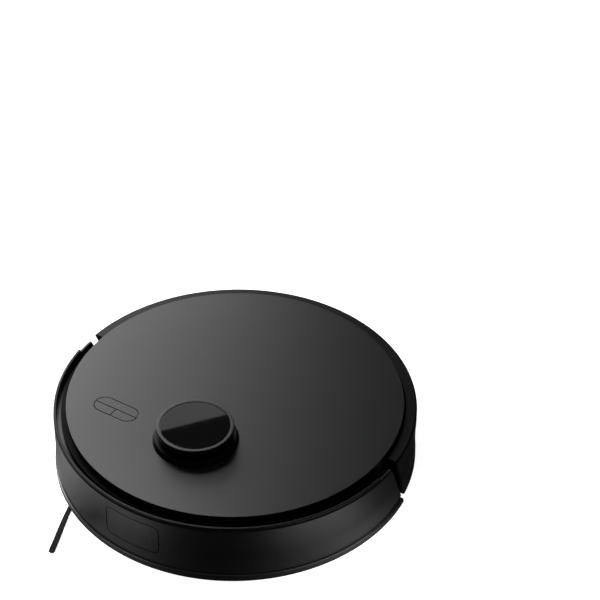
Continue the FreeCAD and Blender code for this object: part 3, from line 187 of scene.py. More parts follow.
def metal(name, colour, roughness, stretch=(1, 1, 1)):
    dull = tuple(part * 0.78 for part in colour)
    return surface(name, ((50, 5), 0.3, 0.7, (dull, colour)),
                   ((700, 3, stretch), roughness - 0.08, roughness + 0.1),
                   ((900, 3, stretch), 0.15, 0.02), metallic=1)


def polished(name, shade, roughness=0.02):
    """Gloss: almost a mirror, with the faintest orange peel and dust haze."""
    return surface(name, ((12, 3), 0.3, 0.7, greys(shade * 0.9, shade * 1.2)),
                   ((90, 6), roughness * 0.7, roughness * 1.6), ((60, 2), 0.02, 0.002))


def circuit(name):
    """Green solder mask with a faint grid of copper tracks."""
    material, tree, shader = new_material(name)
    coordinates = add_node(tree, "TexCoord")
    bricks = add_node(tree, "TexBrick", Scale=160, Mortar_Size=0.03, Color1=(0.012, 0.10, 0.035, 1),
                      Color2=(0.010, 0.075, 0.028, 1), Mortar=(0.05, 0.22, 0.09, 1))
    tree.links.new(coordinates.outputs["Object"], bricks.inputs["Vector"])
    tree.links.new(bricks.outputs["Color"], shader.inputs["Base Color"])
    tree.links.new(between(tree, noise(tree, 80, 3), 0.25, 0.4), shader.inputs["Roughness"])
    bump(tree, shader, bricks.outputs["Fac"], 0.2, 0.03)
    return material


def pleated(name):
    """Filter paper: pale fibres."""
    material, tree, shader = new_material(name)
    fibres = noise(tree, 800, 6, (1, 1, 4))
    tree.links.new(ramp(tree, fibres, 0.3, 0.7, ((0.62, 0.6, 0.55), (0.82, 0.8, 0.76))),
                   shader.inputs["Base Color"])
    set_inputs(shader, Roughness=0.95)
    bump(tree, shader, fibres, 0.4, 0.08)
    return material


BLACK = (0.0062, 0.0064, 0.0068), (0.0082, 0.0084, 0.0088)
moulded("satin_black_shell", *BLACK, 0.36, spread=0.008)
moulded("satin_black_trim", *BLACK, 0.33, spread=0.008)
moulded("rim_black", *BLACK, 0.38, specular=0.16, spread=0.01)
moulded("chassis_black", (0.007, 0.007, 0.0073), (0.012, 0.012, 0.0125), 0.52,
        grain=1500, depth=0.05, specular=0.22)
moulded("white_plastic", (0.52, 0.52, 0.51), (0.62, 0.62, 0.61), 0.42)
moulded("component_black", *greys(0.02, 0.03), 0.5)
moulded("bristle", *greys(0.0012, 0.002), 0.55, specular=0.1)
moulded("brush_core", (0.025, 0.025, 0.027), (0.04, 0.04, 0.042), 0.45)
# painted shade: a near-black finish for the CAD parts seen through gaps and in the turret's slot, so the
# gaps look shaded
moulded("groove_black", *greys(0.002, 0.003), 0.6, specular=0.06)
# painted shade: a black darker than the shell's, so the turret foot and the posts in its slot look shaded;
# its lower specular is a real satin finish
moulded("foot_black", (0.004, 0.004, 0.0042), (0.006, 0.006, 0.0062), 0.3, specular=0.14)
moulded("sign_print", (0.05, 0.05, 0.052), (0.07, 0.07, 0.072), 0.5)
moulded("window_black", (0.006, 0.006, 0.007), (0.008, 0.008, 0.009), 0.3)
polished("gloss_black", 0.006)
polished("battery_wrap", 0.02, 0.25)
polished("led_lens", 0.35, 0.25)
polished("smoked_plastic", 0.02, 0.12)
rubber("soft_rubber", 0.004)
rubber("tyre_rubber", 0.014, 0.8)
rubber("belt_rubber", 0.012, 0.6)
rubber("filter_black", 0.004, 0.9)
metal("steel", (0.58, 0.59, 0.61), 0.32, (1, 1, 8))
metal("nickel", (0.66, 0.63, 0.57), 0.22, (8, 1, 1))
metal("brass", (0.74, 0.56, 0.28), 0.25)
circuit("board_green")
pleated("filter_paper")
SLOT_OF = {row["node"]: row["material_slot"] for row in frame["record"]["subparts"]}
# painted shade: these CAD nodes get the near-black finish instead of their slot's material, so they look
# shaded through the gaps
PAINTED_SHADE_FINISH = dict.fromkeys(("deck_frame", "lidar_rotor", "lidar_base_plate"), "groove_black")


def paint_frame():
    """Give every CAD node the material of its slot, and a near-black painted shade to what shows through
    gaps.
    """
    for name, item in frame["nodes"].items():
        item.data.materials.clear()
        item.data.materials.append(MATERIALS[PAINTED_SHADE_FINISH.get(name, SLOT_OF[name])])


# --------------------------------------------------------------------------
# Mesh tools
# --------------------------------------------------------------------------
def finish(item, body, nodes, material, bevel=0.0, segments=3, angle=35):
    """Smooth shading with sharp creases kept, an edge round, a material, and its body."""
    mesh = item.data
    work = bmesh.new()
    work.from_mesh(mesh)
    bmesh.ops.remove_doubles(work, verts=work.verts, dist=1e-6)
    bmesh.ops.recalc_face_normals(work, faces=work.faces)
    work.to_mesh(mesh)
    work.free()
    for face in mesh.polygons:
        face.use_smooth = True
    mesh.set_sharp_from_angle(angle=radians(angle))
    if bevel:
        rounder = item.modifiers.new("edge_round", "BEVEL")
        rounder.width = bevel * MM
        rounder.segments = segments
        rounder.limit_method = "ANGLE"
        rounder.angle_limit = radians(angle)
        rounder.harden_normals = True
        rounder.use_clamp_overlap = True
    flatten = item.modifiers.new("flat_faces", "WEIGHTED_NORMAL")
    flatten.keep_sharp = True
    mesh.materials.clear()
    mesh.materials.append(MATERIALS[material])
    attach(item, body)
    if nodes:
        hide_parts(*nodes)
    return item


def shifted(x, y, z):
    return Matrix.Translation(Vector((x, y, z)) * MM)


def turned(angle, axis="Z"):
    """A turn by an angle in degrees."""
    return Matrix.Rotation(radians(angle), 4, axis)


def new_object(name, data):
    item = bpy.data.objects.new(name, data)
    bpy.context.scene.collection.objects.link(item)
    return item


def from_lists(name, points, faces):
    mesh = bpy.data.meshes.new(name)
    mesh.from_pydata([[part * MM for part in point] for point in points], [], faces)
    mesh.validate()
    return new_object(name, mesh)


def baked(item):
    """The item's mesh, or its curve's, as its settings and modifiers make it."""
    graph = bpy.context.evaluated_depsgraph_get()
    return bpy.data.meshes.new_from_object(item.evaluated_get(graph))


def rounded(profile, radii, steps=5):
    """A closed (radius, height) outline whose corners are turned into arcs."""
    result = []
    count = len(profile)
    for row, corner in enumerate(profile):
        radius = radii.get(row, 0) if isinstance(radii, dict) else radii
        here = Vector(corner)
        before = Vector(profile[row - 1]) - here
        after = Vector(profile[(row + 1) % count]) - here
        if not radius:
            result.append(here)
            continue
        half = before.angle(after) / 2
        reach = min(radius / tan(half), before.length * 0.49, after.length * 0.49)
        start, end = here + before.normalized() * reach, here + after.normalized() * reach
        for step in range(steps + 1):
            part = step / steps
            result.append(start * (1 - part) ** 2 + here * 2 * part * (1 - part) + end * part ** 2)
    return result


def swept_faces(columns, rows, loop=False):
    """Faces between successive copies of a closed outline, with its ends capped unless it loops."""
    faces = []
    for column in range(columns if loop else columns - 1):
        here, after = column * rows, (column + 1) % columns * rows
        for row in range(rows):
            below = (row + 1) % rows
            faces.append((here + row, after + row, after + below, here + below))
    if not loop:
        faces += [tuple(range(rows - 1, -1, -1)), tuple((columns - 1) * rows + row for row in range(rows))]
    return faces


def ring_of(profile, name, turn_range=None, steps=240, centre=(0, 0)):
    """Lathe a closed (radius, height) outline about a vertical axis.
    turn_range(radius, height) gives the start and end angles from the front; None is a full ring."""
    points = []
    columns = steps if turn_range is None else steps + 1
    for column in range(columns):
        for radius, height in profile:
            start, end = turn_range(radius, height) if turn_range else (0, 2 * pi)
            angle = start + (end - start) * column / steps
            points.append((centre[0] + radius * sin(angle), centre[1] - radius * cos(angle), height))
    return from_lists(name, points, swept_faces(columns, len(profile), turn_range is None))


def disc_of(profile, name, steps=160, centre=(0, 0)):
    """Lathe an open (radius, height) outline whose ends lie on the axis."""
    inner = profile[1:-1]
    rows = len(inner)
    points, faces = [(*centre, profile[0][1]), (*centre, profile[-1][1])], []
    for column in range(steps):
        angle = 2 * pi * column / steps
        for radius, height in inner:
            points.append((centre[0] + radius * sin(angle), centre[1] - radius * cos(angle), height))
        here = 2 + column * rows
        after = 2 + (column + 1) % steps * rows
        faces += [(0, here, after), (1, after + rows - 1, here + rows - 1)]
        faces += [(here + row, here + row + 1, after + row + 1, after + row) for row in range(rows - 1)]
    return from_lists(name, points, faces)


def plate_of(outlines, name, low, high, edge):
    """A flat plate with holes: closed 2-D outlines, extruded, with every rim rounded."""
    curve = bpy.data.curves.new(name, "CURVE")
    curve.dimensions = "2D"
    curve.fill_mode = "BOTH"
    curve.extrude = ((high - low) / 2 - edge) * MM
    curve.bevel_depth = edge * MM
    curve.bevel_resolution = 3
    curve.offset = -edge * MM
    for outline in outlines:
        spline = curve.splines.new("POLY")
        spline.points.add(len(outline) - 1)
        for point, (x, y) in zip(spline.points, outline):
            point.co = (x * MM, y * MM, 0, 1)
        spline.use_cyclic_u = True
    item = new_object(name, curve)
    mesh = baked(item)
    bpy.data.objects.remove(item)
    mesh.transform(shifted(0, 0, (low + high) / 2))
    return new_object(name, mesh)


def circle(radius, x=0.0, y=0.0, steps=256):
    return [(x + radius * cos(2 * pi * step / steps), y + radius * sin(2 * pi * step / steps))
            for step in range(steps)]


def round_box(left, front, right, back, radius, steps=10):
    """A rectangle with round corners, anticlockwise."""
    corners = ((right - radius, back - radius, 0), (left + radius, back - radius, 90),
               (left + radius, front + radius, 180), (right - radius, front + radius, 270))
    outline = []
    for x, y, start in corners:
        for step in range(steps + 1):
            angle = radians(start + 90 * step / steps)
            outline.append((x + radius * cos(angle), y + radius * sin(angle)))
    return outline


def slot_outline(x, y, length, width, steps=24):
    return round_box(x - length / 2, y - width / 2, x + length / 2, y + width / 2,
                               width / 2 - 0.001, steps)


def boolean(item, cutter, operation="DIFFERENCE"):
    """Apply a boolean with a cutter that is then thrown away."""
    change = item.modifiers.new("cut", "BOOLEAN")
    change.operation = operation
    change.solver = "EXACT"
    change.object = cutter
    mesh = baked(item)
    item.modifiers.clear()
    item.data = mesh
    bpy.data.objects.remove(cutter)
    return item


def prism(outline, name, low, high, turn=None):
    """A straight block over a closed 2-D outline, turned by an optional matrix."""
    count = len(outline)
    points = [(x, y, low) for x, y in outline] + [(x, y, high) for x, y in outline]
    faces = [tuple(range(count - 1, -1, -1)), tuple(range(count, 2 * count))]
    faces += [(row, (row + 1) % count, count + (row + 1) % count, count + row) for row in range(count)]
    item = from_lists(name, points, faces)
    if turn is not None:
        item.data.transform(turn)
    return item


FACING_FRONT = Matrix(((1, 0, 0, 0), (0, 0, -1, 0), (0, 1, 0, 0), (0, 0, 0, 1)))


def spot_on(radius, angle):
    """X and Y at an angle in degrees from the front, towards the robot's left."""
    return radius * sin(radians(angle)), -radius * cos(radians(angle))


def front_prism(outline, name, depth_from, depth_to):
    """An outline in X and Z, extruded along -Y."""
    return prism(outline, name, depth_from, depth_to, FACING_FRONT)


# --------------------------------------------------------------------------
# Top cover and controls
# --------------------------------------------------------------------------
def make_top_cover():
    """Flat disc with rounded rims at its edge, the turret hole and the button slot."""
    thickness = 2.4
    gap = 0.5
    outlines = [circle(COVER_RADIUS, steps=360),
                circle(BASE_HIGH.x - 3, 0, TURRET_Y, 160),
                slot_outline(PILL_X, PILL_Y, PILL_LENGTH + 2 * gap, PILL_WIDTH + 2 * gap)]
    disc = plate_of(outlines, "top_cover_disc", COVER_TOP - thickness, COVER_TOP, 0.45)
    finish(disc, "body", ["top_cover"], "satin_black_shell", angle=60)
    inner = COVER_RADIUS - 2.4
    wall = rounded([(inner, COVER_LOW.z), (COVER_RADIUS - 0.25, COVER_LOW.z),
                    (COVER_RADIUS - 0.25, COVER_TOP - 1.2), (inner, COVER_TOP - 1.2)],
                   {1: 0.4})
    skirt = ring_of(wall, "top_cover_skirt", steps=360)
    finish(skirt, "body", [], "satin_black_shell")


def quarter_outline(side, end, gap):
    """Part of the pill: side +1 is rear, -1 front; end -1, +1 or 0 for both ends."""
    half_length, radius = PILL_LENGTH / 2, PILL_WIDTH / 2
    straight = half_length - radius
    outline = []
    left = -half_length if end <= 0 else gap
    right = half_length if end >= 0 else -gap
    if end >= 0:
        for step in range(25):
            angle = radians(90 * step / 24)
            height = max(radius * sin(angle), gap)
            outline.append((straight + radius * cos(angle), height))
    else:
        outline += [(right, gap), (right, radius)]
    if end <= 0:
        for step in range(25):
            angle = radians(90 + 90 * step / 24)
            height = max(radius * sin(angle), gap)
            outline.append((-straight + radius * cos(angle), height))
    else:
        outline += [(left, radius), (left, gap)]
    tidy = []
    for point in outline:
        if not tidy or dist(point, tidy[-1]) > 0.01:
            tidy.append(point)
    return [(PILL_X + x, PILL_Y + side * y) for x, y in tidy]


def make_controls():
    """Indicator panel, two keys, their signs and three lights."""
    gap = 0.32
    lights = [PILL_X + step * 6 for step in (-1, 0, 1)]
    light_y = PILL_Y + 5.6
    panel = plate_of([quarter_outline(1, 0, gap)] + [circle(0.95, x, light_y, 24) for x in lights],
                     "indicator_cover", PANEL_LOW.z, COVER_TOP, 0.22)
    finish(panel, "body", ["indicator_panel"], "satin_black_trim", angle=60)
    for node, body, end in (("power_button", "power_key", -1), ("home_button", "home_key", 1)):
        low, high = span(node)
        key = plate_of([quarter_outline(-1, end, gap)], node + "_cap", low.z, COVER_TOP, 0.28)
        finish(key, body, [node], "satin_black_trim", angle=60)
        centre = (low + high) / 2
        sign = power_sign if node == "power_button" else home_sign
        mark = sign(centre.x - end * 0.6, centre.y, COVER_TOP)
        finish(mark, body, [], "sign_print")
    for step, x in enumerate(lights):
        dome = disc_of([(0, COVER_TOP - 3), (0.85, COVER_TOP - 3), (0.85, COVER_TOP - 0.3),
                        (0.6, COVER_TOP - 0.12), (0, COVER_TOP - 0.05)],
                       f"indicator_light_{step}", 24, (x, light_y))
        finish(dome, "body", [], "led_lens")


def ribbon(name, points, width, height, thick=0.05, closed=False):
    """A thin printed line of constant width through 2-D points."""
    left, right = [], []
    count = len(points)
    for row, (x, y) in enumerate(points):
        before = points[row - 1] if row or closed else points[row]
        after = points[(row + 1) % count] if row < count - 1 or closed else points[row]
        along = Vector((after[0] - before[0], after[1] - before[1])).normalized()
        side = Vector((-along.y, along.x)) * width / 2
        left.append((x + side.x, y + side.y))
        right.append((x - side.x, y - side.y))
    verts, faces = [], []
    for level in (height - 0.02, height + thick):
        verts += [(x, y, level) for x, y in left] + [(x, y, level) for x, y in right]
    steps = count if closed else count - 1
    for row in range(steps):
        after = (row + 1) % count
        a, b, c, d = row, after, count + after, count + row
        top = 2 * count
        faces += [(a + top, b + top, c + top, d + top), (d, c, b, a), (a, b, b + top, a + top),
                  (d + top, c + top, c, d)]
    return from_lists(name, verts, faces)


def joined(name, items):
    """Several meshes as one object."""
    work = bmesh.new()
    for item in items:
        work.from_mesh(item.data)
        bpy.data.objects.remove(item)
    mesh = bpy.data.meshes.new(name)
    work.to_mesh(mesh)
    work.free()
    return new_object(name, mesh)


def power_sign(x, y, height):
    radius = 2.1
    arc = [(x + radius * sin(radians(angle)), y + radius * cos(radians(angle)))
           for angle in range(40, 321, 8)]
    stroke = [(x, y + 0.4), (x, y + 2.7)]
    return joined("power_sign", [ribbon("arc", arc, 0.45, height), ribbon("stroke", stroke, 0.45, height)])


def home_sign(x, y, height):
    size = 2.2
    roof = [(x - size, y + 0.1), (x, y + size), (x + size, y + 0.1)]
    side, top, bottom = size * 0.7, y + 0.3, y - size * 0.85
    walls = [(x - side, top), (x - side, bottom), (x + side, bottom), (x + side, top)]
    return joined("home_sign", [ribbon("roof", roof, 0.45, height), ribbon("walls", walls, 0.45, height)])


# --------------------------------------------------------------------------
# Laser turret
# --------------------------------------------------------------------------
def make_turret():
    centre = (0, TURRET_Y)
    foot = BASE_HIGH.x
    inner = foot - 8.4
    top = COVER_TOP + 4.8
    flare = [(foot, COVER_TOP + 0.01), (foot, COVER_TOP + 0.5), (foot - 0.7, COVER_TOP + 1.9),
             (foot - 1.3, COVER_TOP + 3.6), (foot - 2.3, top), (inner, top), (inner, BASE_LOW.z),
             (inner + 2.4, BASE_LOW.z), (inner + 2.4, COVER_TOP + 0.01)]
    base = ring_of(rounded(flare, {1: 0.4, 2: 1.2, 3: 1.2, 4: 0.8, 5: 0.5}), "turret_foot",
                   steps=200, centre=centre)
    # painted shade: the foot's darker black makes it look shaded
    finish(base, "body", ["turret_base"], "foot_black", angle=50)
    slot_top = CAP_LOW.z
    for step in range(6):
        post = prism(round_box(inner + 0.5, -1.6, inner + 3.1, 1.6, 0.5, 4),
                     f"turret_post_{step}", top - 0.3, slot_top + 1,
                     shifted(0, TURRET_Y, 0) @ turned(60 * step))
        # painted shade: the posts in the turret's slot are darkened to look shaded
        finish(post, "body", [], "foot_black")
    rim = INLAY_HIGH.x + 0.4
    roof = CAP_HIGH.z
    side = [(0, roof - 2.6), (CAP_RADIUS - 2.4, roof - 2.6), (CAP_RADIUS - 2.4, slot_top),
            (CAP_RADIUS - 0.3, slot_top), (CAP_RADIUS, roof - 1.5), (CAP_RADIUS - 0.4, roof),
            (rim, roof), (rim, roof - 1.2), (0, roof - 1.2)]
    soft = rounded(side, {3: 0.5, 4: 0.8, 5: 0.6, 6: 0.25})
    cut = [point for point in soft if point[0] > 1e-6]
    cap = disc_of([soft[0]] + cut + [soft[-1]], "turret_cap_shell", 200, centre)
    finish(cap, "body", ["turret_cap"], "satin_black_trim", angle=50)
    radius, low, high = INLAY_HIGH.x, INLAY_LOW.z, INLAY_HIGH.z
    glass = disc_of([(0, low), (radius, low), (radius, high - 0.25), (radius - 0.08, high - 0.08),
                     (radius - 0.25, high), (0, high)], "turret_glass", 200, centre)
    finish(glass, "body", ["turret_inlay"], "gloss_black", angle=50)


# --------------------------------------------------------------------------
# Bumper
# --------------------------------------------------------------------------
def bumper_range(radius, height):
    """The bumper's ends lean: they reach further back lower down."""
    end = pi / 2 + asin((RIM_TOP - height) * END_LEAN / radius)
    return -end, end


def window_outline(grow):
    return round_box(WINDOW_LOW.x - grow, WINDOW_LOW.z - grow, WINDOW_HIGH.x + grow, WINDOW_HIGH.z + grow,
                               6 + grow)


def make_bumper():
    lip = BUMPER_HIGH.x
    wall = BODY_RADIUS
    low, high = BUMPER_LOW.z, BUMPER_HIGH.z
    inner = wall - 3.1
    guide = 162
    channel = wall - 1.6
    strip_low, strip_high = STRIP_LOW.z - 0.2, STRIP_HIGH.z
    outline = [(guide, low), (lip - 1.2, low), (lip, low + 2), (lip, strip_low - 0.6),
               (lip - 1, strip_low), (channel, strip_low), (channel, strip_high), (wall - 0.2, strip_high),
               (wall, strip_high + 0.8), (wall, high - 1.3), (wall - 1, high), (inner, high),
               (inner, SHELF_HIGH), (guide, SHELF_HIGH), (guide, SHELF_LOW), (inner, SHELF_LOW),
               (inner, low + 2.4),
               (guide, low + 2.4)]
    soft = rounded(outline, {1: 0.8, 2: 1.2, 3: 0.5, 4: 0.4, 7: 0.3, 8: 0.5,
                             9: 0.8, 10: 0.8, 11: 0.5}, 4)
    shell = ring_of(soft, "bumper_wall", bumper_range, steps=300)
    boolean(shell, front_prism(window_outline(0.9), "window_cutter", NEAR_WALL, PAST_WALL))
    finish(shell, "bumper", ["bumper_shell"], "satin_black_shell", bevel=0.2, segments=2, angle=50)

    def strip_range(radius, height):
        end = pi / 2 + asin((20 - height) * 0.8 / radius)
        return -end, end

    band = rounded([(channel, STRIP_LOW.z), (wall - 0.7, STRIP_LOW.z), (wall - 0.7, STRIP_HIGH.z),
                    (channel, STRIP_HIGH.z)], {1: 0.5, 2: 0.5})
    strip = ring_of(band, "bumper_soft_strip", strip_range, steps=240)
    finish(strip, "bumper", ["bumper_strip"], "soft_rubber")

    def rail_range(radius, height):
        end = asin(min(1, sqrt(1 - (TRIM_HIGH.y / radius) ** 2)))
        return -end, end

    rail_outline = [(wall - 3.0, TRIM_LOW.z), (wall - 0.9, TRIM_LOW.z), (wall - 0.9, TRIM_LOW.z + 0.7),
                    (wall - 0.35, TRIM_LOW.z + 1.0), (wall - 0.35, TRIM_HIGH.z), (wall - 3.0, TRIM_HIGH.z)]
    rail = ring_of(rounded(rail_outline, {3: 0.2, 4: 0.7, 5: 0.5}), "bumper_rail", rail_range,
                   steps=240)
    finish(rail, "bumper", ["bumper_top_trim"], "rim_black", bevel=0.2, segments=2)
    pane_range = asin(34 / wall)
    pane = ring_of([(wall - 2.6, WINDOW_LOW.z - 2), (wall - 0.06, WINDOW_LOW.z - 2),
                    (wall - 0.06, WINDOW_HIGH.z + 2), (wall - 2.6, WINDOW_HIGH.z + 2)],
                   "bumper_window", lambda radius, height: (-pane_range, pane_range), steps=60)
    boolean(pane, front_prism(window_outline(0), "pane_cutter", NEAR_WALL, PAST_WALL), "INTERSECT")
    finish(pane, "bumper", ["front_window"], "window_black", angle=40)


def make_leaf_springs():
    """Two bowed steel strips, which on the real robot flatten as the bumper is pushed in; here they keep
    their bowed shape.
    """
    low, high = span("bumper_springs")
    foot, bow, half, steel = 158.6, 11.4, 18, 0.6
    for number, angle in enumerate((-20, 20)):
        outward = Vector((*spot_on(1, angle), 0))
        tangent = Vector((-outward.y, outward.x, 0))
        points = []
        steps = 24
        for step in range(steps + 1):
            along = -1 + 2 * step / steps
            rise = bow * (1 - along ** 2)
            for depth, level in ((0, low.z), (steel, low.z), (steel, high.z), (0, high.z)):
                across = half * along * (1 - depth * MM)
                points.append(outward * (foot + max(rise - depth, 0)) + tangent * across
                              + Vector((0, 0, level)))
        leaf = from_lists(f"leaf_spring_{number}", points, swept_faces(steps + 1, 4))
        finish(leaf, "body", ["bumper_springs"] if number == 0 else [], "steel")
        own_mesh(leaf)


# --------------------------------------------------------------------------
# Rear shell
# --------------------------------------------------------------------------
def rear_range(radius, height):
    level = min(height, SHELF_HIGH)
    edge = max(NOTCH + (RIM_TOP - level) * END_LEAN, 0)
    start = pi / 2 + asin(edge / radius)
    return start, 2 * pi - start


def sector(name, start, end, low, high, radius):
    """A wedge between two angles from the front, about the Z axis."""
    return prism([(0, 0), (radius * sin(start), -radius * cos(start)),
                  (radius * sin(end), -radius * cos(end))], name, low, high)


def make_rear_shell():
    wall = BODY_RADIUS
    low, high = REAR_LOW.z, REAR_HIGH.z
    rim = COVER_RADIUS + 1.6
    inner = wall - 3
    foot = 158.4
    outline = [(foot, low), (wall - 2.4, low), (wall, low + 2.6), (wall, high - 1.6),
               (wall - 1.2, high), (rim, high), (rim, high - 2.6), (inner, high - 2.6),
               (inner, low + 3), (foot, low + 3)]
    soft = rounded(outline, {1: 1.2, 2: 1.6, 3: 1.2, 4: 0.9, 5: 0.5})
    shell = ring_of(soft, "rear_wall", rear_range, steps=300)
    gap = 0.6
    half = BIN_HIGH.x + gap
    hole = round_box(-half, BIN_LOW.z - gap, half, BIN_HIGH.z + gap, 3)
    boolean(shell, front_prism(hole, "bin_cutter", -PAST_WALL, -120))
    angles = grille_angles()
    boolean(shell, sector("grille_cutter", angles[0], angles[1], GRILLE_LOW.z - 0.3, GRILLE_HIGH.z + 0.3,
                          250))
    finish(shell, "body", ["rear_shell"], "rim_black", bevel=0.5, segments=3, angle=40)


def grille_angles():
    """Angles from the front at which the grille opening starts and ends."""
    start = atan2(GRILLE_HIGH.x, -GRILLE_LOW.y)
    end = pi - atan2(GRILLE_LOW.x, GRILLE_HIGH.y)
    return start - radians(0.2), end + radians(0.2)


def make_grille():
    """Curved plate with staggered eight-sided holes over a dark cloth backing."""
    start, end = grille_angles()
    radius = BODY_RADIUS - 0.7
    pitch = 3.3
    rows = int((GRILLE_HIGH.z - GRILLE_LOW.z) / (pitch * 0.87))
    row_height = (GRILLE_HIGH.z - GRILLE_LOW.z) / rows
    columns = int((end - start) * radius / pitch)
    step = (end - start) / columns
    points, faces = [], []

    def add(angle, height, depth):
        points.append(((radius - depth) * sin(angle), -(radius - depth) * cos(angle), height))
        return len(points) - 1

    for row in range(rows):
        shift = 0.5 * (row % 2)
        middle = GRILLE_LOW.z + (row + 0.5) * row_height
        for column in range(columns):
            centre = start + (column + 0.5 + shift) * step
            if centre + step / 2 > end + 1e-9:
                continue
            frame_ring, hole_ring, deep_ring = [], [], []
            for corner in range(8):
                turn = radians(45 * corner)
                across, up = cos(turn), sin(turn)
                stretch = 1 / max(abs(across), abs(up))
                frame_ring.append(add(centre + across * stretch * step / 2,
                                      middle + up * stretch * row_height / 2, 0))
                hole_ring.append(add(centre + across * 0.95 / radius, middle + up * 0.95, 0.12))
                deep_ring.append(add(centre + across * 0.9 / radius, middle + up * 0.9, 1.4))
            for corner in range(8):
                after = (corner + 1) % 8
                faces.append((frame_ring[corner], frame_ring[after], hole_ring[after], hole_ring[corner]))
                faces.append((hole_ring[corner], hole_ring[after], deep_ring[after], deep_ring[corner]))
        for edge_start, edge_end in ((start, start + shift * step), (start + (columns - 0.5) * step, end)):
            if shift and edge_end - edge_start > 1e-6:
                bottom, top = middle - row_height / 2, middle + row_height / 2
                faces.append((add(edge_start, bottom, 0), add(edge_end, bottom, 0), add(edge_end, top, 0),
                              add(edge_start, top, 0)))
    plate = from_lists("exhaust_mesh", points, faces)
    finish(plate, "body", ["exhaust_grille"], "satin_black_trim", angle=30)
    cloth = ring_of([(radius - 2.2, GRILLE_LOW.z - 1), (radius - 1.5, GRILLE_LOW.z - 1),
                     (radius - 1.5, GRILLE_HIGH.z + 1), (radius - 2.2, GRILLE_HIGH.z + 1)],
                    "exhaust_backing", lambda r, z: (start, end), steps=60)
    finish(cloth, "body", [], "filter_black")


# --------------------------------------------------------------------------
# Dust bin, latch and charging contacts
# --------------------------------------------------------------------------
def panel_edge(x):
    """Angle from the front at which the rear wall has this X."""
    return pi - asin(x / BODY_RADIUS)


def make_dustbin():
    """Curved rear panel with a latch hole and a dust outlet, and the open tub behind it."""
    wall = BODY_RADIUS
    low, high = BIN_LOW.z, BIN_HIGH.z
    edge = panel_edge(BIN_HIGH.x)
    panel = ring_of([(wall - 3, low), (wall, low), (wall, high), (wall - 3, high)], "bin_panel",
                    lambda radius, height: (edge, 2 * pi - edge), steps=96)
    latch_low, latch_high = span("bin_release_button")
    latch_half = 13.4
    hole = round_box(-latch_half, latch_low.z + 1.4, latch_half, latch_high.z - 1.6, 3)
    outlet_half, outlet_low, outlet_high = 16, low + 11.4, low + 28.4
    outlet = round_box(-outlet_half, outlet_low, outlet_half, outlet_high, 4)
    for name, outline in (("latch_cutter", hole), ("outlet_cutter", outlet)):
        boolean(panel, front_prism(outline, name, -PAST_WALL, -NEAR_WALL))
    finish(panel, "dustbin", ["dustbin_body"], "satin_black_shell", bevel=0.5, angle=40)
    lip = 2.4
    seal = round_box(-outlet_half - 2.5, outlet_low - lip, outlet_half + 2.5, outlet_high + lip, 5.5)
    collar = plate_of([seal, outlet], "outlet_seal", -0.6, 0.6, 0.3)
    collar.data.transform(shifted(0, wall - 1.6, 0) @ FACING_FRONT)
    finish(collar, "dustbin", [], "soft_rubber")
    half, front = 65.5, BIN_LOW.y
    tub_low, tub_high, back, skin = 17, 59.9, 156, 1.8
    tub = prism(round_box(-half, front, half, back, 5), "bin_tub", tub_low, tub_high)
    inside = round_box(-half + skin, front + skin, half - skin, back - skin, 4)
    boolean(tub, prism(inside, "tub_cutter", tub_low + skin, tub_high + 5))
    duct_half, duct_low, duct_high, neck_skin = 25, 20, 49, 3
    duct = round_box(-duct_half, duct_low, duct_half, duct_high, 2)
    boolean(tub, front_prism(duct, "duct_cutter", -back - 2, -NEAR_WALL))
    finish(tub, "dustbin", [], "smoked_plastic", bevel=0.4)
    neck = front_prism(round_box(-duct_half - neck_skin, duct_low - neck_skin, duct_half + neck_skin,
                                 duct_high + neck_skin, 3), "bin_neck", -172.6, -back - 0.1)
    recess = round_box(-15.6, 45.4, 15.6, 60, 1)
    for name, outline, end in (("neck_cutter", duct, 169), ("neck_outlet_cutter", outlet, PAST_WALL),
                               ("recess_cutter", recess, 174)):
        boolean(neck, front_prism(outline, name, -end, -NEAR_WALL))
    finish(neck, "dustbin", [], "chassis_black", bevel=0.3)
    pitch, inset = 22, 10
    for step in range(5):
        x = (step - 2) * pitch
        rib = prism(round_box(x - 0.8, front + inset, x + 0.8, back - inset, 0.7), f"bin_rib_{step}",
                    tub_low - 0.7, tub_low + 0.3)
        finish(rib, "dustbin", [], "smoked_plastic", bevel=0.3)


def grip_bar(name, x, y, half_x, half_y, radius, low, high, body, material, upright=False):
    """One raised line of a grip, rounded at both ends."""
    make = front_prism if upright else prism
    bar = make(round_box(x - half_x, y - half_y, x + half_x, y + half_y, radius, 4), name, low, high)
    finish(bar, body, [], material, bevel=0.15)


def make_latch():
    """Thumb button with grip ribs in the bin's rear panel."""
    low, high = span("bin_release_button")
    half, bottom, top = 13, low.z + 1.8, high.z - 2
    face = high.y
    button = front_prism(round_box(-half, bottom, half, top, 2.8), "latch_button", -face, -face + 5)
    finish(button, "bin_latch", ["bin_release_button"], "satin_black_trim", bevel=0.7, segments=4)
    flange = front_prism(round_box(low.x, low.z, high.x, high.z, 1.5), "latch_flange", -low.y - 1.1,
                         -low.y - 0.1)
    finish(flange, "bin_latch", [], "satin_black_trim", bevel=0.2)
    for step in range(5):
        height = (bottom + top) / 2 + (step - 2) * 1.6
        grip_bar(f"latch_grip_{step}", 0, height, 8, 0.35, 0.34, -face - 0.35, -face + 0.5, "bin_latch",
                 "satin_black_trim", upright=True)


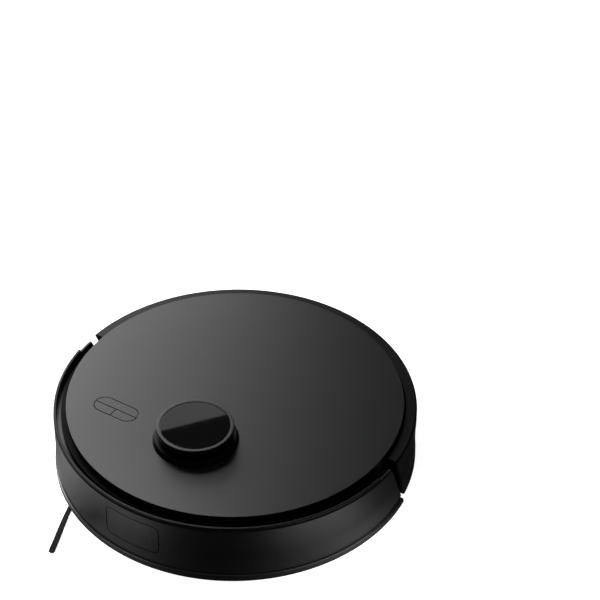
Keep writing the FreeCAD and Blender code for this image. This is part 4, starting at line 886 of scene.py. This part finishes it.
def make_contacts():
    """Two charging pads with rounded edges that follow the rear wall."""
    low, high = span("charging_contacts")
    reach = low.y
    outer = hypot(high.x, reach)
    for side in (1, -1):
        start = atan2(high.x - 0.3, -sqrt(outer ** 2 - high.x ** 2))
        end = pi - asin((high.x - 15.4) / outer)
        angles = (start, end) if side > 0 else (2 * pi - end, 2 * pi - start)
        pad = ring_of(rounded([(outer - 1.6, low.z + 0.2), (outer, low.z + 0.2),
                               (outer, high.z - 0.2), (outer - 1.6, high.z - 0.2)],
                              {1: 1.2, 2: 1.2}), f"contact_pad_{side + 1}",
                      lambda radius, height, angles=angles: angles, steps=24)
        finish(pad, "body", ["charging_contacts"] if side > 0 else [], "nickel", bevel=0.35)


# --------------------------------------------------------------------------
# Underside
# --------------------------------------------------------------------------
POST_ANGLES = (28, 75, 152, 208, 285, 332)
POST_RADIUS = 149
SENSOR_ANGLES = (14, -14, 128, -128)
SENSOR_RADIUS = 143


def make_floor_plate():
    """The chassis floor with every opening, all rims rounded, plus stiffening ribs."""
    low, high = span("base_chassis")
    door_low, door_high = span("battery_door")
    guard_low, guard_high = span("brush_guard")
    hub_low, hub_high = span("side_brush_hub")
    fork_low, fork_high = span("caster_fork")
    well_inner, well_outer, well_front, well_back = 89, 127, -40, 60
    mouth, caster_hole, shaft_hole, screw_hole, gap = 85, 21, 3, 3.3, 0.4
    outlines = [circle(high.x, steps=300), round_box(well_inner, well_front, well_outer, well_back, 5),
                round_box(-well_outer, well_front, -well_inner, well_back, 5),
                round_box(-mouth, guard_low.y + 8, mouth, guard_high.y - 8, 3),
                round_box(door_low.x - gap, door_low.y - gap, door_high.x + gap, door_high.y + gap, 3),
                circle(caster_hole, 0, (fork_low.y + fork_high.y) / 2, 96),
                circle(shaft_hole, (hub_low.x + hub_high.x) / 2, (hub_low.y + hub_high.y) / 2, 32)]
    for angle in POST_ANGLES:
        outlines.append(circle(screw_hole, *spot_on(POST_RADIUS, angle), 32))
    for angle in SENSOR_ANGLES:
        x, y = spot_on(SENSOR_RADIUS, angle)
        outlines.append(round_box(x - 9.3, y - 5.3, x + 9.3, y + 5.3, 2))
    plate = plate_of(outlines, "floor_plate", low.z, high.z, 0.5)
    finish(plate, "body", ["base_chassis"], "chassis_black", angle=60)
    for number, angle in enumerate(POST_ANGLES):
        x, y = spot_on(POST_RADIUS, angle)
        seat = ring_of([(1.7, low.z + 2), (3.4, low.z + 2), (3.4, high.z - 0.1),
                        (1.7, high.z - 0.1)], f"screw_seat_{number}", steps=32, centre=(x, y))
        finish(seat, "body", [], "chassis_black")
    for number, radius in enumerate((96, 112, 128)):
        spread = radians(30 - 3 * number)
        rib = ring_of(rounded([(radius - 0.8, low.z - 0.6), (radius + 0.8, low.z - 0.6),
                               (radius + 0.8, low.z + 0.3), (radius - 0.8, low.z + 0.3)],
                              {0: 0.5, 1: 0.5}), f"floor_rib_{number}",
                      lambda r, z, spread=spread: (pi - spread, pi + spread), steps=60)
        finish(rib, "body", [], "chassis_black", bevel=0.2)


def make_sensor_windows():
    """Four glossy drop-sensor windows with rounded corners."""
    low, high = span("cliff_sensor_windows")
    for number, angle in enumerate(SENSOR_ANGLES):
        x, y = spot_on(SENSOR_RADIUS, angle)
        pane = plate_of([round_box(x - 9, y - 5, x + 9, y + 5, 1.8)],
                        f"drop_sensor_{number}", low.z, high.z, 0.3)
        finish(pane, "body", ["cliff_sensor_windows"] if number == 0 else [], "gloss_black", angle=60)


def make_screws():
    """Pan heads with a cross recess."""
    low = span("chassis_screws")[0]
    for number, angle in enumerate(POST_ANGLES):
        x, y = spot_on(POST_RADIUS, angle)
        head = disc_of([(0, low.z), (1.6, low.z + 0.1), (2.5, low.z + 0.5),
                        (2.9, low.z + 1.2), (2.9, low.z + 1.9), (0, low.z + 1.9)],
                       f"screw_head_{number}", 32, (x, y))
        for turn in (20 + 31 * number, 110 + 31 * number):
            blade = prism(round_box(-1.6, -0.3, 1.6, 0.3, 0.25, 3), "recess",
                          low.z - 1, low.z + 1,
                          shifted(x, y, 0) @ turned(turn))
            boolean(head, blade)
        finish(head, "body", ["chassis_screws"] if number == 0 else [], "steel")


def make_battery_door():
    """Flat door with a finger notch and grip lines."""
    low, high = span("battery_door")
    finger = (low.x + high.x) / 2
    door = plate_of([round_box(low.x, low.y, high.x, high.y, 2.6)], "battery_cover", low.z, high.z,
                    0.5)
    notch = prism(round_box(finger - 11, low.y + 3, finger + 11, low.y + 12, 4),
                  "notch_cutter", low.z - 1, low.z + 1.2)
    boolean(door, notch)
    finish(door, "body", ["battery_door"], "chassis_black", bevel=0.3, angle=60)
    for step in range(4):
        grip_bar(f"door_grip_{step}", finger, low.y + 5 + 1.8 * step, 7, 0.4, 0.38, low.z + 0.3, low.z + 1.4,
                 "body", "chassis_black")


def make_guard():
    """Snap-in frame round the brush mouth, with two finger tabs."""
    low, high = span("brush_guard")
    middle = (low.y + high.y) / 2
    outlines = [round_box(low.x, low.y, high.x, high.y, 5),
                round_box(-81, middle - 23, 81, middle + 23, 2)]
    frame_plate = plate_of(outlines, "guard_frame", low.z, high.z, 0.45)
    finish(frame_plate, "body", ["brush_guard"], "chassis_black", angle=60)
    for side in (1, -1):
        for step in range(5):
            grip_bar(f"guard_grip_{side + 1}_{step}", side * 48 + (step - 2) * 1.7, high.y - 5.75, 0.4, 3.25,
                     0.38, low.z - 0.5, low.z + 0.4, "body", "satin_black_trim")


# --------------------------------------------------------------------------
# Brushes
# --------------------------------------------------------------------------
def hair(points, faces, start, middle, end, radius):
    """A three-sided bristle that bends through three places and tapers."""
    along = (end - start).normalized()
    side = along.cross(Vector((0, 0, 1)))
    if side.length < 0.2:
        side = along.cross(Vector((1, 0, 0)))
    side.normalize()
    other = along.cross(side)
    first = len(points)
    for place, size in ((start, radius), (middle, radius), (end, radius * 0.55)):
        for corner in range(3):
            turn = 2 * pi * corner / 3
            points.append(place + (side * cos(turn) + other * sin(turn)) * size)
    for row in (0, 3):
        for corner in range(3):
            after = (corner + 1) % 3
            faces.append((first + row + corner, first + row + after, first + row + 3 + after,
                          first + row + 3 + corner))
    faces.append((first + 2, first + 1, first))
    faces.append((first + 6, first + 7, first + 8))


def make_side_brush():
    """Hub with a screw cap and two moulded roots that each hold a fan of long bristles."""
    low, high = span("side_brush_hub")
    reach_low, reach_high = span("side_brush_bristles")
    centre = Vector(((low.x + high.x) / 2, (low.y + high.y) / 2, 0))
    radius = (high.x - low.x) / 2
    bottom = low.z
    hub = disc_of(rounded([(0, bottom + 0.3), (radius * 0.42, bottom), (radius * 0.8, bottom + 0.5),
                           (radius, bottom + 1.6), (radius, bottom + 3.2), (0, bottom + 3.2)],
                          {2: 1, 3: 0.8, 4: 0.5}), "side_brush_disc", 96, tuple(centre.xy))
    finish(hub, "side_brush", ["side_brush_hub"], "chassis_black", angle=50)
    shaft = disc_of([(0, bottom + 3), (2.4, bottom + 3), (2.4, high.z - 0.4),
                     (2, high.z), (0, high.z)], "side_brush_shaft", 40, tuple(centre.xy))
    finish(shaft, "side_brush", [], "chassis_black")
    reach = hypot(reach_high.x - reach_low.x, reach_high.y - reach_low.y) / 2 - 1.2
    heading = -atan2(reach_high.y - reach_low.y, reach_high.x - reach_low.x)
    root_end = 17
    shake = random.Random(7)
    points, faces = [], []
    for turn in (0, pi):
        angle = heading + turn
        out = Vector((cos(angle), sin(angle), 0))
        across = Vector((-out.y, out.x, 0))
        root = prism(round_box(5, -2.6, 19, 2.6, 2.2), "side_brush_root", bottom - 0.2, bottom + 3,
                     shifted(*centre) @ turned(degrees(angle)))
        finish(root, "side_brush", [], "chassis_black", bevel=0.6)
        for _ in range(120):
            spread = shake.gauss(0, 1)
            rise = shake.gauss(0, 1)
            start = centre + out * root_end + across * spread * 0.55 + Vector((0, 0, bottom + 1.3))
            length = reach - root_end - abs(shake.gauss(0, 2.2))
            middle = start + out * length * 0.55 + across * spread * 0.5 + Vector((0, 0, -1.6))
            end = start + out * length + across * spread * 0.9
            end.z = 1.2 + abs(rise) * 0.5
            middle.z += rise * 0.25
            hair(points, faces, start, middle, end, 0.28)
    tufts = from_lists("side_brush_hairs", points, faces)
    finish(tufts, "side_brush", ["side_brush_bristles"], "bristle")


def make_main_brush():
    """Round core with three chevron rubber vanes and three chevron rows of bristle tufts."""
    low, high = span("main_brush_core")
    blade_low, blade_high = span("main_brush_blades")
    y, z = (blade_low.y + blade_high.y) / 2, (low.z + high.z) / 2
    half = blade_high.x - 0.2
    tip, core = (blade_high.z - blade_low.z) / 2 - 0.3, 12.6
    side_turn = shifted(0, y, z) @ turned(90, "Y")
    tube = disc_of(rounded([(0, -high.x), (3, -high.x), (3, -half), (core, -half), (core, half),
                            (3, half), (3, high.x), (0, high.x)],
                           {1: 0.4, 3: 0.8, 4: 0.8, 6: 0.4}), "brush_tube", 96)
    tube.data.transform(side_turn)
    finish(tube, "main_brush", ["main_brush_core"], "brush_core", angle=40)

    def chevron(x, start):
        return start + radians(52) * abs(x) / half

    steps = 72
    vane_section = ((core - 0.5, -0.13), (core + 1.2, -0.08), (tip - 0.4, -0.028), (tip, 0),
                    (tip - 0.4, 0.028), (core + 1.2, 0.08), (core - 0.5, 0.13))
    for number in range(3):
        start = radians(120 * number)
        points = []
        for step in range(steps + 1):
            x = -half + 2 * half * step / steps
            angle = chevron(x, start)
            for radius, lean in vane_section:
                points.append((x, y + radius * sin(angle + lean), z + radius * cos(angle + lean)))
        vane = from_lists(f"brush_vane_{number}", points, swept_faces(steps + 1, len(vane_section)))
        finish(vane, "main_brush", ["main_brush_blades"] if number == 0 else [], "soft_rubber", angle=50)
    shake = random.Random(11)
    points, faces = [], []
    tufts = 40
    for number in range(3):
        start = radians(120 * number + 60)
        for tuft in range(tufts):
            x = -half + 2 * half * (tuft + 0.5) / tufts
            for _ in range(9):
                angle = chevron(x, start) + shake.gauss(0, 0.035)
                place = x + shake.gauss(0, 0.35)
                end_angle = angle + shake.gauss(0, 0.05)
                end_place = place + shake.gauss(0, 0.6)
                end_radius = tip - 0.4 - abs(shake.gauss(0, 0.3))
                middle = (core + end_radius) / 2
                path = [Vector((place, y + radius * sin(turn), z + radius * cos(turn)))
                        for radius, turn in ((core - 0.4, angle), (middle, angle))]
                end = Vector((end_place, y + end_radius * sin(end_angle), z + end_radius * cos(end_angle)))
                hair(points, faces, path[0], path[1], end, 0.16)
    rows = from_lists("brush_tufts", points, faces)
    finish(rows, "main_brush", [], "bristle")


# --------------------------------------------------------------------------
# Wheels
# --------------------------------------------------------------------------
def make_drive_wheel(name):
    """Rubber tyre with chevron lugs on a ribbed wheel."""
    low, high = span(name + "_tyre")
    axle = (low.z + high.z) / 2
    middle = (low.x + high.x) / 2
    radius, half = (high.z - low.z) / 2, (high.x - low.x) / 2
    outwards = 1 if middle > 0 else -1
    turn = shifted(middle, 0, axle) @ turned(90 * outwards, "Y")
    base, bore = radius - 1.1, radius - 4
    tyre = ring_of(rounded([(bore, -half), (base, -half), (base, half), (bore, half)],
                           {1: 1.6, 2: 1.6}), "tyre_ring", steps=180)
    lugs, count = [tyre], 30
    for number in range(count):
        for end in (1, -1):
            near, far = 0.7, half - 0.6
            corners = []
            for level in (base - 0.6, radius - 0.02):
                thick = 0.052 if level < base else 0.040
                for along, slant in ((near, 0), (far, 0.075)):
                    for edge in (-thick, thick):
                        angle = 2 * pi * number / count + slant + edge
                        corners.append((level * sin(angle), -level * cos(angle), end * along))
            lugs.append(from_lists("lug", corners, [(0, 1, 3, 2), (4, 6, 7, 5), (0, 4, 5, 1), (2, 3, 7, 6),
                                                    (0, 2, 6, 4), (1, 5, 7, 3)]))
    tread = joined(name + "_tread", lugs)
    tread.data.transform(turn)
    finish(tread, name + "_wheel", [name + "_tyre"], "tyre_rubber", bevel=0.3, segments=2)
    hub_low, hub_high = span(name + "_wheel_hub")
    rim = bore - 0.05
    face = half - 0.5
    dish = disc_of(rounded([(0, -3), (6, -3), (rim - 3, -3), (rim - 3, -face),
                            (rim, -face), (rim, face), (rim - 2.4, face), (rim - 3.2, face - 4),
                            (8, face - 6), (7, face - 2.5), (0, face - 2)],
                           {3: 0.3, 4: 0.3, 5: 0.6, 6: 0.5, 7: 1, 8: 1, 9: 0.8}),
                   "hub_dish", 120)
    spokes = [dish]
    for number in range(5):
        spoke = prism(round_box(6.5, -1.3, rim - 2.6, 1.3, 0.8, 4), "spoke",
                      face - 7, face - 2.9, turned(72 * number))
        spokes.append(spoke)
    stub = disc_of([(0, -max(abs(hub_low.x - middle), abs(hub_high.x - middle))), (2.95, -17.9),
                    (2.95, -2), (0, -2)], "stub", 40)
    spokes.append(stub)
    hub = joined(name + "_hub", spokes)
    hub.data.transform(turn)
    finish(hub, name + "_wheel", [name + "_wheel_hub"], "chassis_black", bevel=0.25, segments=2)


def make_caster():
    """Roller with rounded shoulders and a dark centre band on a steel pin."""
    low, high = span("caster_wheel")
    y, z = (low.y + high.y) / 2, (low.z + high.z) / 2
    radius, half = (high.z - low.z) / 2, 5.5
    turn = shifted(0, y, z) @ turned(90, "Y")
    roller = disc_of(rounded([(0, -half), (radius, -half), (radius, -1.4), (radius - 0.5, -1.4),
                              (radius - 0.5, 1.4), (radius, 1.4), (radius, half), (0, half)],
                             {1: 1.6, 2: 0.2, 5: 0.2, 6: 1.6}), "caster_roller_body", 96)
    roller.data.transform(turn)
    finish(roller, "caster_roller", ["caster_wheel"], "white_plastic", angle=40)
    band = ring_of(rounded([(radius - 1, -1.3), (radius - 0.15, -1.3),
                            (radius - 0.15, 1.3), (radius - 1, 1.3)], {1: 0.4, 2: 0.4}),
                   "caster_band", steps=96)
    band.data.transform(turn)
    finish(band, "caster_roller", [], "soft_rubber")
    pin = disc_of([(0, -high.x), (1.2, -high.x), (1.35, -high.x + 0.3), (1.35, high.x - 0.3),
                   (1.2, high.x), (0, high.x)], "caster_pin", 32)
    pin.data.transform(turn)
    finish(pin, "caster_roller", [], "steel")


# --------------------------------------------------------------------------
# Stage: floor, lights and camera
# --------------------------------------------------------------------------
def mix_for_camera(tree, others, seen, output):
    """One shader for rays from the camera and another for all the rest."""
    path = add_node(tree, "LightPath")
    choice = add_node(tree, "MixShader")
    tree.links.new(path.outputs["Is Camera Ray"], choice.inputs["Fac"])
    tree.links.new(others, choice.inputs[1])
    tree.links.new(seen, choice.inputs[2])
    tree.links.new(choice.outputs["Shader"], tree.nodes[output].inputs["Surface"])


def make_stage():
    """White floor and background to the camera, both far darker to every other ray."""
    half = 6000
    corners = [(-half, -half, 0), (half, -half, 0), (half, half, 0), (-half, half, 0)]
    floor = from_lists("studio_floor", corners, [(0, 1, 2, 3)])
    material, tree, shader = new_material("floor_paper")
    tree.links.new(ramp(tree, noise(tree, 3, 2), 0.3, 0.7, greys(0.86, 0.88)), shader.inputs["Base Color"])
    set_inputs(shader, Roughness=0.9, Specular_IOR_Level=0.1)
    glow = add_node(tree, "Emission", Color=(0.86, 0.86, 0.86, 1))
    lit = add_node(tree, "AddShader")
    tree.links.new(glow.outputs["Emission"], lit.inputs[0])
    tree.links.new(shader.outputs["BSDF"], lit.inputs[1])
    dark = add_node(tree, "BsdfDiffuse", Color=(0.12, 0.12, 0.12, 1))
    mix_for_camera(tree, dark.outputs["BSDF"], lit.outputs["Shader"], "Material Output")
    floor.data.materials.append(material)
    world = bpy.data.worlds.new("studio")
    bpy.context.scene.world = world
    world.use_nodes = True
    tree = world.node_tree
    background = tree.nodes["Background"]
    set_inputs(background, Color=(0.9, 0.9, 0.9, 1), Strength=0.03)
    pale = add_node(tree, "Background", Color=(0.93, 0.93, 0.93, 1))
    mix_for_camera(tree, background.outputs["Background"], pale.outputs["Background"], "World Output")


def area_light(name, place, target, width, height, power, across=None):
    """A rectangular softbox; across is the direction of its width."""
    light = bpy.data.lights.new(name, "AREA")
    light.shape = "RECTANGLE"
    light.size = width
    light.size_y = height
    light.energy = power
    item = new_object(name, light)
    back = (Vector(place) - Vector(target)).normalized()
    side = Vector(across) if across else Vector((0, 0, 1)).cross(back)
    side = (side - back * side.dot(back)).normalized()
    up = back.cross(side)
    turn = Matrix((side, up, back)).transposed().to_4x4()
    item.matrix_world = Matrix.Translation(place) @ turn
    item.visible_camera = False


def make_lights():
    """Softboxes behind and to the left, and three small ones that light the floor by the bumper.
    Places and sizes here and in make_camera are in metres."""
    area_light("key_softbox", (-1.061, 0.757, 0.836), (0, -0.06, 0.09), 1.04, 0.8, 2.45, (0.62, 0.78, -0.07))
    area_light("left_softbox", (-0.74, 0.55, 0.56), (0, 0, 0.08), 0.7, 0.4, 2.7, (0, 1, 0))
    area_light("low_left_box", (-0.75, 0.25, 0.40), (0, 0, 0.08), 0.5, 0.4, 2.4)
    area_light("high_left_box", (-0.45, 0.25, 0.85), (0, -0.14, 0.08), 0.3, 0.2, 1.6)
    area_light("top_softbox", (0.3, -0.2, 2.6), (0, 0, 0), 2.6, 2.6, 6)
    area_light("right_floor_box", (0.26, -0.10, 0.04), (0.26, -0.099, 0), 0.12, 0.16, 0.8)
    area_light("left_floor_box", (-0.21, -0.19, 0.04), (-0.21, -0.189, 0), 0.16, 0.16, 0.7)
    area_light("front_floor_box", (-0.08, -0.28, 0.04), (-0.08, -0.279, 0), 0.16, 0.12, 0.6)


def make_camera():
    azimuth, elevation, roll = radians(32.4), radians(38.98), radians(0.12)
    distance, shift_right, shift_up = 2.427, 0.0624, 0.1572
    back = Vector((sin(azimuth) * cos(elevation), -cos(azimuth) * cos(elevation),
                   sin(elevation)))
    side = (-back).cross(Vector((0, 0, 1))).normalized()
    up = side.cross(-back)
    right = cos(roll) * side + sin(roll) * up
    top = -sin(roll) * side + cos(roll) * up
    camera = bpy.data.cameras.new("camera")
    camera.sensor_width = 36
    camera.lens = 148.3
    camera.clip_end = 50
    item = new_object("camera", camera)
    place = back * distance + right * shift_right + top * shift_up
    item.matrix_world = Matrix.Translation(place) @ Matrix((right, top, back)).transposed().to_4x4()
    bpy.context.scene.camera = item


def make_drive_wheels():
    for name in ("left", "right"):
        make_drive_wheel(name)


for build in (paint_frame, make_top_cover, make_controls, make_turret, make_bumper, make_leaf_springs,
              make_rear_shell, make_grille, make_dustbin, make_latch, make_contacts, make_floor_plate,
              make_sensor_windows, make_screws, make_battery_door, make_guard, make_side_brush,
              make_main_brush, make_drive_wheels, make_caster, make_stage, make_lights, make_camera):
    build()
bpy.context.scene.view_settings.view_transform = "Standard"
